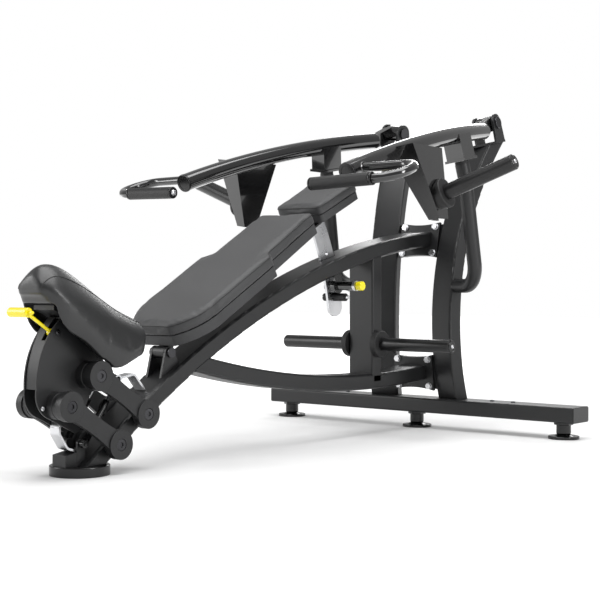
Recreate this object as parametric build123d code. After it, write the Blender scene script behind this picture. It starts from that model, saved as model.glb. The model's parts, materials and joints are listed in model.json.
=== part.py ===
from build123d import *
import os
from math import asin, atan2, cos, degrees, radians, sin, sqrt

# Plate-loaded incline chest press, full size.
# Millimetres, +Z up. Origin on the floor under the middle rear foot, X = 0 is the mirror plane,
# the seat is towards -Y. "Right" is the +X side.

# ---------------------------------------------------------------- driving dimensions
# Steel tube shared by the whole frame
TUBE_W = 100.0          # wide face
TUBE_T = 50.0           # narrow face
WALL = 3.0
TUBE_CORNER = 7.0
PLATE = 8.0             # laser-cut steel plate
GAP = 0.3               # clearance between pieces that only lie against each other
RUNNING = 0.08          # radial clearance of a shaft in its bore

# Base beam and feet
BASE_LENGTH = 1260.0
BASE_UNDERSIDE = 54.0
REAR_FOOT_D = 100.0
REAR_FOOT_DISC = 9.0
REAR_STEM_D = 47.0
REAR_FOOT_X = 572.0
FRONT_FOOT_D = 158.0
FRONT_FOOT_T = 26.0
FRONT_FOOT_Y = -1523.0

# Uprights: each is one arc in a vertical plane that is toed in
UPRIGHT_TOE = 17.0
UPRIGHT_BOW_R = 1125.0
UPRIGHT_BOW_Z = 367.0       # height of the foremost point of the bow
UPRIGHT_BOW_B = 23.0        # how far behind the origin that point lies, along the toed plane
UPRIGHT_SIDE = 130.0        # distance of that plane from the origin

# Curved beams: centre lines are arcs in the mirror plane
MAIN_R = 2915.0
MAIN_APEX_Y = 312.0
MAIN_APEX_Z = 667.0
LOWER_R = 3330.0
LOWER_LOW_Y = -337.0
LOWER_LOW_Z = 176.0
LOWER_FRONT_Y = -1170.0
POST_Y = -297.0

# Bolted flanges at the rear ends of both beams
FLANGE_HALF = 80.0
FLANGE_H = 124.0
FLANGE_WAIST = 9.0          # how far the long edges curve in
FLANGE_T = 10.0
UPPER_FLANGE = (10.0, 648.0, 12.0)      # y, z, lean in degrees
LOWER_FLANGE = (-22.0, 190.0, -6.0)
FLANGE_BOLT_X = 63.0
FLANGE_BOLT_Z = 46.0
BOLT_D = 12.0
BOLT_HEAD_AF = 19.0
BOLT_HEAD_T = 7.5

# Storage horns on the post
STORE_D = 42.0
STORE_Z = 298.0
STORE_TIP_X = 340.0
STORE_COLLAR_D = 88.0
STORE_COLLAR_T = 21.0
STORE_NECK_D = 40.0         # the bar is turned down where its collar sits
NECK_RELIEF = 1.0           # groove between a collar's face and the full-width bar

# Press arms, in the arm's own frame: x out along the pivot pin, y to the rear, z up
PIVOT = (195.0, 137.5, 1045.0)
ARM_TOE = 6.0               # pivot pin points outward, turned this far to the rear
ARM_ROLL = 8.0              # and rises this much outward, so the hands converge
ARM_PITCH = 10.0            # slope of the arm over its stop
ARM_D = 56.0
ARM_FRONT = (0.0, -959.0, -233.0)
ARM_MIDDLE = (36.0, -466.0, -102.0)
ARM_REAR = (21.5, -88.0, -36.0)
ARM_CAP_T = 5.0
HUB_D = 54.0
HUB_HALF = 30.0
PIN_D = 25.0
EAR_GAP = 3.0               # washer space between hub and ear
EAR_R = 31.0
EAR_DROP = 69.0             # pivot to the top of the upright
EAR_T = 8.0
PIN_HEAD_D = 42.0
PIN_HEAD_T = 7.0

# Stop under each arm and the bent tube that catches it
STOP_X = 37.0
STOP_Y = -312.0
STOP_HALF_X = 31.0
STOP_HALF_Y = 42.0
STOP_DROP = 86.0            # arm axis to the underside of the flange
STOP_FLANGE_T = 8.0
STOP_FLANGE_LIP = 5.0
STOP_TUBE_D = 47.0
BUMPER_T = 10.0
STOP_TUBE_STRAIGHT = 55.0
STOP_BEND = (297.0, -83.0, 489.0)
STOP_FOOT = (165.0, -16.0, 489.0)
STOP_BEND_R = 78.0

# Weight horn and its folded bracket, in the arm's frame
BRACKET_OUT_X = 104.0
BRACKET_TOP_IN_X = 14.0
BRACKET_BOTTOM_IN_X = 66.0
BRACKET_TOP_Z = -150.0
BRACKET_BOTTOM_Z = -370.0
BRACKET_TOP_Y = (-742.0, -560.0)
BRACKET_BOTTOM_Y = (-630.0, -576.0)
BRACKET_T = 6.0
HORN_D = 48.0
HORN_Y = -606.0
HORN_Z = -298.0
HORN_TILT = 12.0
HORN_LENGTH = 258.0
HORN_FLANGE_D = 88.0
HORN_FLANGE_T = 10.5
HORN_RUBBER_D = 94.0
HORN_RUBBER_T = 12.0
HORN_NECK_D = 46.0

# Handle, in the arm's frame
HANDLE_D = 27.0
HANDLE_START = (0.0, -913.0, -218.0)
HANDLE_OUT = (229.0, -931.0, -250.0)
HANDLE_TURN = (212.0, -1066.0, -293.0)
HANDLE_TIP = (-62.0, -1054.0, -262.0)
HANDLE_BEND_R = 66.0
GRIP_D = 37.0
GRIP_LENGTH = 196.0
GRIP_CAP_T = 6.0

# Backrest: a flat board on a hinge, in its own frame
REST_ANGLE = 30.0
REST_FOOT = (-1272.0, 382.0)        # y, z of the lower end of the cushion's top face
BACK_LENGTH = 664.0
BACK_HALF_LOWER = 141.0
BACK_HALF_STEP = 113.0
BACK_HALF_TOP = 106.0
BACK_HALF_FOOT = 64.0
BACK_STEP_S = 396.0                 # distance up the board where the shoulders are cut away
BACK_STEP_RUN = 26.0
CUSHION_T = 36.0
COVER_T = 31.0
COVER_INSET = 3.0
HEAD_START_S = 714.0
HEAD_LENGTH = 198.0
HEAD_HALF_LOW = 90.0
HEAD_HALF_HIGH = 98.0
HEAD_TILT = 3.8
HEAD_DROP = 5.0
HEAD_CUSHION_T = 33.0
HEAD_COVER_T = 24.0
SPINE_W = 90.0
SPINE_T = 6.0
SPINE_DROP = 9.0                    # packing between covers and steel bar
REST_HINGE = (-1225.0, 306.0)
REST_PIN_D = 16.0
LUG_HALF = 22.0
LUG_R = 18.0

# Backrest adjuster: curved plate through the main beam, pull pin and stop pin
ADJUST_R = 773.0
ADJUST_W = 66.0
ADJUST_T = 8.0
ADJUST_LOW_Z = 424.0
ADJUST_HOLE_D = 12.0
ADJUST_HOLES = 6
ADJUST_HOLE_STEP = 1.6              # degrees between holes
PULL_Z = 489.0
PULL_HOUSING_D = 48.0
PULL_SLEEVE_D = 28.0
PULL_SLEEVE_END = 92.0
PULL_HOUSING_L = 22.0
PULL_RING_T = 10.0
PULL_KNOB_L = 22.0
PULL_KNOB_D = 29.0
PULL_PLUNGER_D = 10.0
STOP_PIN_D = 12.0
STOP_RUBBER_D = 25.0

# Seat carriage on four parallel links
LINK_REAR_LOWER = (-1456.0, 77.0)   # y, z of the pivots on the beam
LINK_REAR_UPPER = (-1358.5, 149.5)
LINK_VECTOR = (-165.0, 110.0)       # from the pivot on the beam to the pivot on the carriage
LINK_BOSS_D = 78.0
LINK_WAIST = 46.0
LINK_IN_X = 67.0
LINK_OUT_X = 88.0
LINK_WEB_T = 13.0
LINK_PIN_D = 20.0
LINK_BOLT_HEAD_D = 30.0
LINK_RECESS = 5.0
LINK_SHANK_X = 51.0         # inner end of the link bolts
BEAM_BOSS_D = 56.0
SPACER_D = 46.0
CASE_HALF = 26.0
CASE_PLATE = 5.0

# Locking rack inside the carriage
RACK_CENTRE = (-1425.0, 52.0)       # y, z; the locking pin circles this point at the link length
RACK_T = 6.0
RACK_HALF = 18.0
RACK_ANGLES = (82.0, 157.0)         # ends of the arc, from +Y
RACK_HOLES = 5
RACK_HOLE_STEP = 8.0
LOCK_PIN_D = 11.0
LOCK_CLEAR = 1.5                    # tip of the drawn pin to the strap

# Gas springs beside the carriage
SPRING_X = 36.0
SPRING_FOOT = (-1540.0, 82.0)
SPRING_HEAD = (-1425.0, 244.0)
SPRING_BODY_D = 18.0
SPRING_BODY_L = 124.0
SPRING_ROD_D = 8.0
SPRING_EYE_D = 20.0
SPRING_EYE_HALF = 6.0
SPRING_PIN_D = 8.0
SPRING_PLAY = 3.5                   # the rod's eye is this much larger in radius than its pin

# Seat release lever
LEVER_PIVOT = (-1628.0, 372.0)
LEVER_BEND = (-1707.0, 424.0)
LEVER_ROD_D = 9.0
LEVER_X = 15.5
LEVER_GRIP_D = 25.0
LEVER_GRIP_X = (-48.0, 36.0)
LEVER_CAP_T = 10.0


# ---------------------------------------------------------------- helpers
def combined(outer, inner):
    """A plane given in the coordinates of another plane."""
    return Plane(outer.location * inner.location)


def group(solids):
    """One node made of several separate solids."""
    return Compound([solid for part in solids for solid in part.solids()])


def mirrored(part):
    """The same piece on the other side of the machine."""
    return part.mirror(Plane.YZ)


def both_sides(part):
    return group([part, mirrored(part)])


def cylinder_between(start, end, diameter):
    """Round bar from one point to another."""
    start, end = Vector(*start), Vector(*end)
    axis = end - start
    plane = Plane(origin=start, z_dir=axis)
    return plane * Cylinder(diameter / 2, axis.length, align=(Align.CENTER, Align.CENTER, Align.MIN))


def cross_bar(x_from, x_to, y, z, diameter):
    """Round bar along X."""
    return cylinder_between((x_from, y, z), (x_to, y, z), diameter)


def rect_ring(width, thickness, wall, corner):
    """Rounded rectangular tube section and its outline."""
    outline = RectangleRounded(width, thickness, corner)
    bore = RectangleRounded(width - 2 * wall, thickness - 2 * wall, corner - wall)
    return outline - bore, outline


def swept(section, path, x_dir):
    """Section carried along a path, its own x axis held along x_dir at the start."""
    start = Plane(origin=path @ 0, x_dir=x_dir, z_dir=path % 0)
    return sweep(start * section, path=path)


def round_tube(path, diameter, wall):
    """Bent round tube and the solid bar of the same outside."""
    start = Plane(origin=path @ 0, z_dir=path % 0)
    bar = sweep(start * Circle(diameter / 2), path=path)
    bore = sweep(start * Circle(diameter / 2 - wall), path=path)
    return bar - bore, bar


def slab(plane, width, depth, height, x=0.0, y=0.0, z=0.0):
    """Box centred in x and y on the plane, rising from z."""
    box = Box(width, depth, height, align=(Align.CENTER, Align.CENTER, Align.MIN))
    return plane * (Pos(x, y, z) * box)


def side_profile(points, x_from, x_to):
    """Straight-sided outline given as (y, z), extruded across the machine."""
    outline = Polyline(*[(0, y, z) for y, z in points], close=True)
    face = make_face(outline)
    return Pos(x_from, 0, 0) * extrude(face, amount=x_to - x_from, dir=(1, 0, 0))


def hex_bolt(plane, shank_d, shank_l, head_af, head_t):
    """Bolt with its head standing on the plane and its shank below it."""
    head = extrude(RegularPolygon(head_af / sqrt(3), 6), head_t)
    washer = Pos(0, 0, 0) * Cylinder(head_af * 0.62, 1.5, align=(Align.CENTER, Align.CENTER, Align.MIN))
    shank = Pos(0, 0, -shank_l) * Cylinder(shank_d / 2, shank_l, align=(Align.CENTER, Align.CENTER, Align.MIN))
    return plane * (Pos(0, 0, 1.5) * head + washer + shank)


# ---------------------------------------------------------------- base and uprights
def base_beam():
    ring, _ = rect_ring(TUBE_W, TUBE_T, WALL, TUBE_CORNER)
    path = Line((-BASE_LENGTH / 2, 0, BASE_UNDERSIDE + TUBE_T / 2), (BASE_LENGTH / 2, 0, BASE_UNDERSIDE + TUBE_T / 2))
    return swept(ring, path, (0, 1, 0))


def base_end_caps():
    plug_l = 18.0
    lip = 4.0
    face = Plane(origin=(BASE_LENGTH / 2, 0, BASE_UNDERSIDE + TUBE_T / 2), x_dir=(0, 1, 0), z_dir=(1, 0, 0))
    rim = face * fillet(extrude(RectangleRounded(TUBE_W, TUBE_T, TUBE_CORNER), lip).edges().group_by(Axis.Z)[-1], 1.5)
    bore_w, bore_t = TUBE_W - 2 * WALL - 2 * GAP, TUBE_T - 2 * WALL - 2 * GAP
    plug = face * extrude(RectangleRounded(bore_w, bore_t, TUBE_CORNER - WALL - GAP), -plug_l)
    return both_sides(rim + plug)


def rear_foot_positions():
    return [(x, 0.0) for x in (-REAR_FOOT_X, 0.0, REAR_FOOT_X)]


def rear_feet():
    disc = Cylinder(REAR_FOOT_D / 2, REAR_FOOT_DISC, align=(Align.CENTER, Align.CENTER, Align.MIN))
    disc = fillet(disc.edges().group_by(Axis.Z)[-1], 3)
    hub = Pos(0, 0, REAR_FOOT_DISC) * Cone(REAR_FOOT_D * 0.36, REAR_STEM_D * 0.4, 7, align=(Align.CENTER, Align.CENTER, Align.MIN))
    return group([Pos(x, y, 0) * (disc + hub) for x, y in rear_foot_positions()])


def rear_foot_stems():
    seat = REAR_FOOT_DISC + 7
    stem = Pos(0, 0, seat) * Cylinder(REAR_STEM_D / 2, BASE_UNDERSIDE - seat, align=(Align.CENTER, Align.CENTER, Align.MIN))
    stem = fillet(stem.edges().group_by(Axis.Z)[0], 2)
    return group([Pos(x, y, 0) * stem for x, y in rear_foot_positions()])


def upright_point(height, along=0.0, across=0.0):
    """Point of an upright at a height, offset along the toed plane and across it."""
    rise = height - UPRIGHT_BOW_Z
    back = UPRIGHT_BOW_B + UPRIGHT_BOW_R - sqrt(UPRIGHT_BOW_R ** 2 - rise ** 2) + along
    side = UPRIGHT_SIDE + across
    toe = radians(UPRIGHT_TOE)
    return (back * sin(toe) + side * cos(toe), back * cos(toe) - side * sin(toe), height)


def pivot_bracket_plane():
    """Plane of a pivot bracket: x along the pin, z up through the bracket, origin on the pin."""
    return combined(arm_plane(), Plane(origin=(0, 0, 0), x_dir=(1, 0, 0), z_dir=pitched_up()))


def uprights():
    """Right upright as a tube, and as a solid bar for cutting what meets it."""
    ring, outline = rect_ring(TUBE_W, TUBE_T, WALL, TUBE_CORNER)
    foot_z, top_z = BASE_UNDERSIDE + TUBE_T, PIVOT[2] + 10
    low, high = foot_z - 25, top_z
    path = ThreePointArc(upright_point(low), upright_point((low + high) / 2), upright_point(high))
    toe = radians(UPRIGHT_TOE)
    across = (cos(toe), -sin(toe), 0)
    floor_cut = slab(Plane.XY, 600, 600, foot_z, 200, 0, 0)
    top_cut = slab(pivot_bracket_plane(), 400, 400, 200, 0, 0, -EAR_DROP)
    tube = swept(ring, path, across) - floor_cut - top_cut
    bar = swept(outline, path, across)
    return tube, bar


# ---------------------------------------------------------------- beams
def main_beam_z(y):
    return MAIN_APEX_Z - (MAIN_R - sqrt(MAIN_R ** 2 - (y - MAIN_APEX_Y) ** 2))


def main_beam_slope(y):
    return degrees(asin((MAIN_APEX_Y - y) / MAIN_R))


def lower_beam_z(y):
    return LOWER_LOW_Z + (LOWER_R - sqrt(LOWER_R ** 2 - (y - LOWER_LOW_Y) ** 2))


def arc_path(height, y_from, y_to):
    """Centre line of a curved beam between two places."""
    y_mid = (y_from + y_to) / 2
    return ThreePointArc((0, y_from, height(y_from)), (0, y_mid, height(y_mid)), (0, y_to, height(y_to)))


def flange_plane(flange):
    """Front face of a flange, z pointing to the seat."""
    y, z, lean = flange
    tilt = radians(lean)
    return Plane(origin=(0, y, z), x_dir=(1, 0, 0), z_dir=(0, -cos(tilt), sin(tilt)))


def behind(flange):
    """Everything behind the front face of a flange."""
    return slab(flange_plane(flange), 400, 700, 400, 0, 0, -400)


def beam_pair(height, y_from, y_to):
    ring, outline = rect_ring(TUBE_W, TUBE_T, WALL, TUBE_CORNER)
    path = arc_path(height, y_from, y_to)
    return swept(ring, path, (1, 0, 0)), swept(outline, path, (1, 0, 0))


def main_beam():
    """Main beam as a tube and as a solid bar, cut flat on the front foot."""
    tube, bar = beam_pair(main_beam_z, FRONT_FOOT_Y - 60, UPPER_FLANGE[0] + 60)
    floor_cut = slab(Plane.XY, 300, 500, 200, 0, FRONT_FOOT_Y, FRONT_FOOT_T - 200)
    return tube - floor_cut - behind(UPPER_FLANGE), bar - floor_cut - behind(UPPER_FLANGE)


def lower_beam(main_bar):
    tube, bar = beam_pair(lower_beam_z, LOWER_FRONT_Y, LOWER_FLANGE[0] + 60)
    cut = behind(LOWER_FLANGE)
    tube = tube - cut - main_bar
    below_main = max(tube.solids(), key=lambda solid: solid.volume)
    return below_main, bar - cut


def middle_post(main_bar, lower_bar):
    ring, _ = rect_ring(TUBE_W, TUBE_T, WALL, TUBE_CORNER)
    path = Line((0, POST_Y, lower_beam_z(POST_Y)), (0, POST_Y, main_beam_z(POST_Y)))
    tube = swept(ring, path, (1, 0, 0)) - main_bar - lower_bar
    return max(tube.solids(), key=lambda solid: solid.volume)


def flange_outline(half, height, waist):
    """Plate with its two long edges curved in between the bolts."""
    h = height / 2
    top = ThreePointArc((-half, h), (0, h - waist), (half, h))
    bottom = ThreePointArc((half, -h), (0, -h + waist), (-half, -h))
    right = Line((half, h), (half, -h))
    left = Line((-half, -h), (-half, h))
    return make_face([top, right, bottom, left])


def flange_bolt_places():
    return [(x, z) for x in (-FLANGE_BOLT_X, FLANGE_BOLT_X) for z in (-FLANGE_BOLT_Z, FLANGE_BOLT_Z)]


def beam_flanges():
    """Flanges welded to the rear ends of the two beams."""
    holes = [Pos(x, z) * Circle(BOLT_D / 2 + 0.5) for x, z in flange_bolt_places()]
    face = flange_outline(FLANGE_HALF, FLANGE_H, FLANGE_WAIST) - holes
    plate = extrude(face, -FLANGE_T)
    return group([flange_plane(flange) * plate for flange in (UPPER_FLANGE, LOWER_FLANGE)])


def cross_plates(upright_bars):
    """Plates welded between the uprights, behind the flanges."""
    holes = [Pos(x, z) * Circle(BOLT_D / 2 + 0.5) for x, z in flange_bolt_places()]
    face = flange_outline(FLANGE_HALF + 45, FLANGE_H, FLANGE_WAIST) - holes
    plate = Pos(0, 0, -FLANGE_T) * extrude(face, -FLANGE_T)
    plates = []
    for flange in (UPPER_FLANGE, LOWER_FLANGE):
        cut = flange_plane(flange) * plate
        for bar in upright_bars:
            cut = cut - bar
        plates.append(max(cut.solids(), key=lambda solid: solid.volume))
    return group(plates)


def flange_bolts():
    """Hexagon bolts through flange and cross plate, with their nuts."""
    bolts = []
    grip = 2 * FLANGE_T
    for flange in (UPPER_FLANGE, LOWER_FLANGE):
        for x, z in flange_bolt_places():
            plane = combined(flange_plane(flange), Plane(origin=(x, z, 0)))
            bolt = hex_bolt(plane, BOLT_D, grip + 12, BOLT_HEAD_AF, BOLT_HEAD_T)
            nut = plane * (Pos(0, 0, -grip - 9) * extrude(RegularPolygon(BOLT_HEAD_AF / sqrt(3), 6), 9))
            bolts.append(bolt + nut)
    return group(bolts)


def front_foot():
    disc = Pos(0, FRONT_FOOT_Y, 0) * Cylinder(FRONT_FOOT_D / 2, FRONT_FOOT_T, align=(Align.CENTER, Align.CENTER, Align.MIN))
    disc = fillet(disc.edges().group_by(Axis.Z)[-1], 3)
    dish = Pos(0, FRONT_FOOT_Y, FRONT_FOOT_T - 2) * Cylinder(FRONT_FOOT_D / 2 - 9, 4, align=(Align.CENTER, Align.CENTER, Align.MIN))
    keep = Pos(0, FRONT_FOOT_Y, FRONT_FOOT_T - 4) * Box(TUBE_W, FRONT_FOOT_D, 8)
    return disc - (dish - keep)


# ---------------------------------------------------------------- storage horns
def storage_horns():
    start = TUBE_W / 2
    shoulder = start + STORE_COLLAR_T + NECK_RELIEF
    neck = cross_bar(start, shoulder, POST_Y, STORE_Z, STORE_NECK_D)
    bar = cross_bar(shoulder, STORE_TIP_X, POST_Y, STORE_Z, STORE_D)
    bore = cross_bar(start, STORE_TIP_X - 8, POST_Y, STORE_Z, STORE_D - 8)
    horn = fillet((bar + neck - bore).edges().group_by(Axis.X)[-1], 2.5)
    return both_sides(horn)


def storage_collars():
    start = TUBE_W / 2
    ring = cross_bar(start, start + STORE_COLLAR_T, POST_Y, STORE_Z, STORE_COLLAR_D)
    ring = fillet(ring.edges().group_by(Axis.X)[-1], 5)
    bore = cross_bar(start - 1, start + STORE_COLLAR_T + 1, POST_Y, STORE_Z, STORE_NECK_D + 2 * RUNNING)
    return both_sides(ring - bore)


# ---------------------------------------------------------------- press arm
def arm_plane():
    """Right arm's frame: x out along the pivot pin, y to the rear, z up."""
    toe, roll = radians(ARM_TOE), radians(ARM_ROLL)
    pin = Vector(cos(toe) * cos(roll), sin(toe) * cos(roll), sin(roll))
    forward = Vector(sin(toe), -cos(toe), 0)
    return Plane(origin=PIVOT, x_dir=pin, z_dir=forward.cross(pin))


def pitched_up():
    pitch = radians(ARM_PITCH)
    return (0, -sin(pitch), cos(pitch))


def to_world(part):
    return arm_plane() * part


def arm_path():
    return ThreePointArc(ARM_FRONT, ARM_MIDDLE, ARM_REAR)


def arm_tube():
    return round_tube(arm_path(), ARM_D, WALL)


def arm_end_cap():
    """Dished plastic cap on the front end of the arm."""
    path = arm_path()
    face = Plane(origin=path @ 0, z_dir=-(path % 0))
    rim = extrude(Circle(ARM_D / 2), ARM_CAP_T)
    rim = fillet(rim.edges().group_by(Axis.Z)[-1], 2.5)
    dish = Pos(0, 0, ARM_CAP_T) * Cylinder(ARM_D * 0.33, 2.4)
    plug = extrude(Circle(ARM_D / 2 - WALL - GAP), -16)
    return face * (rim - dish + plug)


def arm_neck():
    """Pivot hub and the two plates that join it to the arm."""
    hub = cylinder_between((-HUB_HALF, 0, 0), (HUB_HALF, 0, 0), HUB_D)
    rear = Plane(origin=arm_path() @ 1, x_dir=(1, 0, 0), z_dir=arm_path() % 1)
    web_in, web_out = ARM_REAR[0] - 20, ARM_REAR[0] + 8
    top = (ARM_REAR[1], ARM_REAR[2] + ARM_D / 2 - 3)
    bottom = (ARM_REAR[1], ARM_REAR[2] - ARM_D / 2 + 3)
    web = side_profile([top, (-8, HUB_D / 2 - 1), (8, -HUB_D / 2 + 6), (-14, -HUB_D / 2 + 4), bottom], web_in, web_out)
    end_plate = rear * Cylinder(ARM_D / 2, 6, align=(Align.CENTER, Align.CENTER, Align.MIN))
    bore = cylinder_between((-80, 0, 0), (80, 0, 0), PIN_D + 2 * RUNNING)
    return hub + web + end_plate - bore


def stop_block(arm_bar):
    """Catch block under the arm with its flange."""
    axis_point = arm_path() @ stop_fraction()
    plane = Plane(origin=axis_point, x_dir=(1, 0, 0), z_dir=pitched_up())
    body_h = STOP_DROP - STOP_FLANGE_T
    block = slab(plane, 2 * STOP_HALF_X, 2 * STOP_HALF_Y, body_h, 0, 0, -body_h)
    hollow = slab(plane, 2 * STOP_HALF_X - 12, 2 * STOP_HALF_Y + 2, body_h - 16, 0, 0, -body_h)
    lip = 2 * STOP_FLANGE_LIP
    flange = slab(plane, 2 * STOP_HALF_X + lip, 2 * STOP_HALF_Y + lip, STOP_FLANGE_T, 0, 0, -STOP_DROP)
    body = (block - arm_bar).solids().sort_by(Axis.Z)[0]
    return body + flange


def stop_fraction():
    """Where along the arm the stop block hangs."""
    path = arm_path()
    low, high = 0.0, 1.0
    for _ in range(30):
        middle = (low + high) / 2
        if (path @ middle).Y < STOP_Y:
            low = middle
        else:
            high = middle
    return (low + high) / 2


def bumper_plane():
    """Top face of the bumper, just under the flange of the resting arm."""
    axis_point = arm_path() @ stop_fraction()
    down = Vector(*pitched_up()) * -(STOP_DROP + GAP)
    return combined(arm_plane(), Plane(origin=axis_point + down, x_dir=(1, 0, 0), z_dir=pitched_up()))


def bumper():
    disc = Cylinder(STOP_TUBE_D / 2 - 1, BUMPER_T, align=(Align.CENTER, Align.CENTER, Align.MAX))
    return bumper_plane() * fillet(disc.edges().group_by(Axis.Z)[-1], 2)


def stop_tube(upright_bar):
    """Bent tube from the bumper down and round to the side of the upright."""
    plane = bumper_plane()
    top = plane.origin - plane.z_dir * BUMPER_T
    knee = top - plane.z_dir * STOP_TUBE_STRAIGHT
    path = FilletPolyline(top, knee, STOP_BEND, STOP_FOOT, radius=[STOP_BEND_R * 2, STOP_BEND_R])
    tube, _ = round_tube(path, STOP_TUBE_D, WALL)
    outside = tube - upright_bar
    lid = plane * (Pos(0, 0, -BUMPER_T) * Cylinder(STOP_TUBE_D / 2 - WALL, 4, align=(Align.CENTER, Align.CENTER, Align.MAX)))
    return max(outside.solids(), key=lambda solid: solid.volume) + lid


def bracket_wedge(inset):
    """Tapered box of the bracket: wide at the arm, narrow at the bottom."""
    sections = []
    levels = (
        (BRACKET_TOP_Z, BRACKET_TOP_IN_X, BRACKET_TOP_Y),
        (BRACKET_BOTTOM_Z, BRACKET_BOTTOM_IN_X, BRACKET_BOTTOM_Y),
    )
    for z, inner_x, (front, back) in levels:
        x_low, x_high = inner_x + inset, BRACKET_OUT_X - inset
        y_low, y_high = front + inset, back
        centre = ((x_low + x_high) / 2, (y_low + y_high) / 2)
        sections.append(Pos(centre[0], centre[1], z) * Rectangle(x_high - x_low, y_high - y_low))
    return loft(sections)


def horn_bracket(arm_bar):
    """Folded plate bracket, open at the back, coped round the arm."""
    outer = bracket_wedge(0)
    inner = bracket_wedge(BRACKET_T)
    shell = outer - inner - arm_bar
    return max(shell.solids(), key=lambda solid: solid.volume) - bracket_bolt()


def horn_plane():
    """Root of the weight horn on the bracket's outer plate, z out along the horn."""
    tilt = radians(HORN_TILT)
    return Plane(origin=(BRACKET_OUT_X, HORN_Y, HORN_Z), x_dir=(0, 1, 0), z_dir=(cos(tilt), 0, sin(tilt)))


def bracket_side_cut():
    """Everything on the inner side of the bracket's outer plate."""
    return Pos(BRACKET_OUT_X - 100, HORN_Y, HORN_Z) * Box(200, 300, 300)


def weight_horn():
    plane = horn_plane()
    upright = (Align.CENTER, Align.CENTER, Align.MIN)
    shoulder = HORN_FLANGE_T + HORN_RUBBER_T + NECK_RELIEF
    bar = Pos(0, 0, shoulder) * Cylinder(HORN_D / 2, HORN_LENGTH - shoulder, align=upright)
    bar = fillet(bar.edges().group_by(Axis.Z)[-1], 3)
    neck = Pos(0, 0, -20) * Cylinder(HORN_NECK_D / 2, 20 + shoulder, align=upright)
    flange = Pos(0, 0, -14) * Cylinder(HORN_FLANGE_D / 2, HORN_FLANGE_T + 14, align=upright)
    bore = Pos(0, 0, -20) * Cylinder(HORN_D / 2 - 4, HORN_LENGTH + 8, align=upright)
    return plane * (bar + neck + flange - bore) - bracket_side_cut()


def horn_rubber():
    plane = horn_plane()
    ring = Pos(0, 0, HORN_FLANGE_T) * Cylinder(HORN_RUBBER_D / 2, HORN_RUBBER_T, align=(Align.CENTER, Align.CENTER, Align.MIN))
    ring = fillet(ring.edges().group_by(Axis.Z)[-1], 4)
    bore = Cylinder(HORN_NECK_D / 2 + RUNNING, 100)
    return plane * (ring - bore)


def bracket_bolt():
    """Bolt that holds the horn, its head on the inner face of the outer plate."""
    face = Plane(origin=(BRACKET_OUT_X - BRACKET_T, HORN_Y, HORN_Z), x_dir=(0, 1, 0), z_dir=(-1, 0, 0))
    return hex_bolt(face, BOLT_D, BRACKET_T + 4, BOLT_HEAD_AF, BOLT_HEAD_T)


def handle_path():
    return FilletPolyline(HANDLE_START, HANDLE_OUT, HANDLE_TURN, HANDLE_TIP, radius=HANDLE_BEND_R)


def handle(arm_bar):
    """Bent handle tube, coped to the side of the arm."""
    tube, _ = round_tube(handle_path(), HANDLE_D, WALL)
    outside = tube - arm_bar
    return max(outside.solids(), key=lambda solid: solid.volume)


def grip_axis():
    tip, turn = Vector(*HANDLE_TIP), Vector(*HANDLE_TURN)
    return tip, (turn - tip).normalized()


def handle_grip():
    """Ribbed rubber sleeve over the free end of the handle."""
    tip, axis = grip_axis()
    plane = Plane(origin=tip, z_dir=axis)
    sleeve = Cylinder(GRIP_D / 2, GRIP_LENGTH, align=(Align.CENTER, Align.CENTER, Align.MIN))
    sleeve = fillet(sleeve.edges(), 3)
    bore = Cylinder(HANDLE_D / 2 + RUNNING, 3 * GRIP_LENGTH)
    return plane * (sleeve - bore)


def grip_cap():
    tip, axis = grip_axis()
    plane = Plane(origin=tip, z_dir=-axis)
    cap = extrude(Circle(GRIP_D / 2), GRIP_CAP_T)
    cap = fillet(cap.edges().group_by(Axis.Z)[-1], 3)
    plug = extrude(Circle(HANDLE_D / 2 - WALL - GAP), -14)
    return plane * (cap + plug)


def pivot_bracket():
    """Two ears and the plate that stands on the upright."""
    inner = HUB_HALF + EAR_GAP
    ears = []
    for x in (-inner - EAR_T, inner):
        ear = side_profile([(-EAR_R, 0), (EAR_R, 0), (EAR_R + 4, -EAR_DROP), (-EAR_R - 4, -EAR_DROP)], x, x + EAR_T)
        ears.append(ear + cylinder_between((x, 0, 0), (x + EAR_T, 0, 0), 2 * EAR_R))
    outer = inner + EAR_T
    base = slab(Plane.XY, 2 * outer + 22, 2 * EAR_R + 12, PLATE, -11, 0, -EAR_DROP)
    bore = cylinder_between((-90, 0, 0), (90, 0, 0), PIN_D + 0.2)
    return pivot_bracket_plane() * (ears[0] + ears[1] + base - bore)


def pivot_pin():
    """Pin through ears and hub, with a wide head and a nut."""
    outer = HUB_HALF + EAR_GAP + EAR_T
    pin = cylinder_between((-outer, 0, 0), (outer, 0, 0), PIN_D)
    head = cylinder_between((outer, 0, 0), (outer + PIN_HEAD_T, 0, 0), PIN_HEAD_D)
    head = fillet(head.edges().group_by(Axis.X)[-1], 3)
    nut = cylinder_between((-outer - PIN_HEAD_T, 0, 0), (-outer, 0, 0), PIN_HEAD_D - 4)
    return pivot_bracket_plane() * (pin + head + nut)


def pivot_washers():
    """Thrust washers either side of the hub."""
    inner = HUB_HALF + EAR_GAP
    ring = cylinder_between((HUB_HALF + GAP, 0, 0), (inner, 0, 0), HUB_D - 8)
    other = cylinder_between((-inner, 0, 0), (-HUB_HALF - GAP, 0, 0), HUB_D - 8)
    bore = cylinder_between((-90, 0, 0), (90, 0, 0), PIN_D + 2 * RUNNING)
    return pivot_bracket_plane() * group([ring - bore, other - bore])


# ---------------------------------------------------------------- backrest
def rest_plane():
    """Backrest frame: x across, y up the board, z out of the cushion, origin at its lower end."""
    tilt = radians(REST_ANGLE)
    y, z = REST_FOOT
    return Plane(origin=(0, y, z), x_dir=(1, 0, 0), z_dir=(0, -sin(tilt), cos(tilt)))


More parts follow.
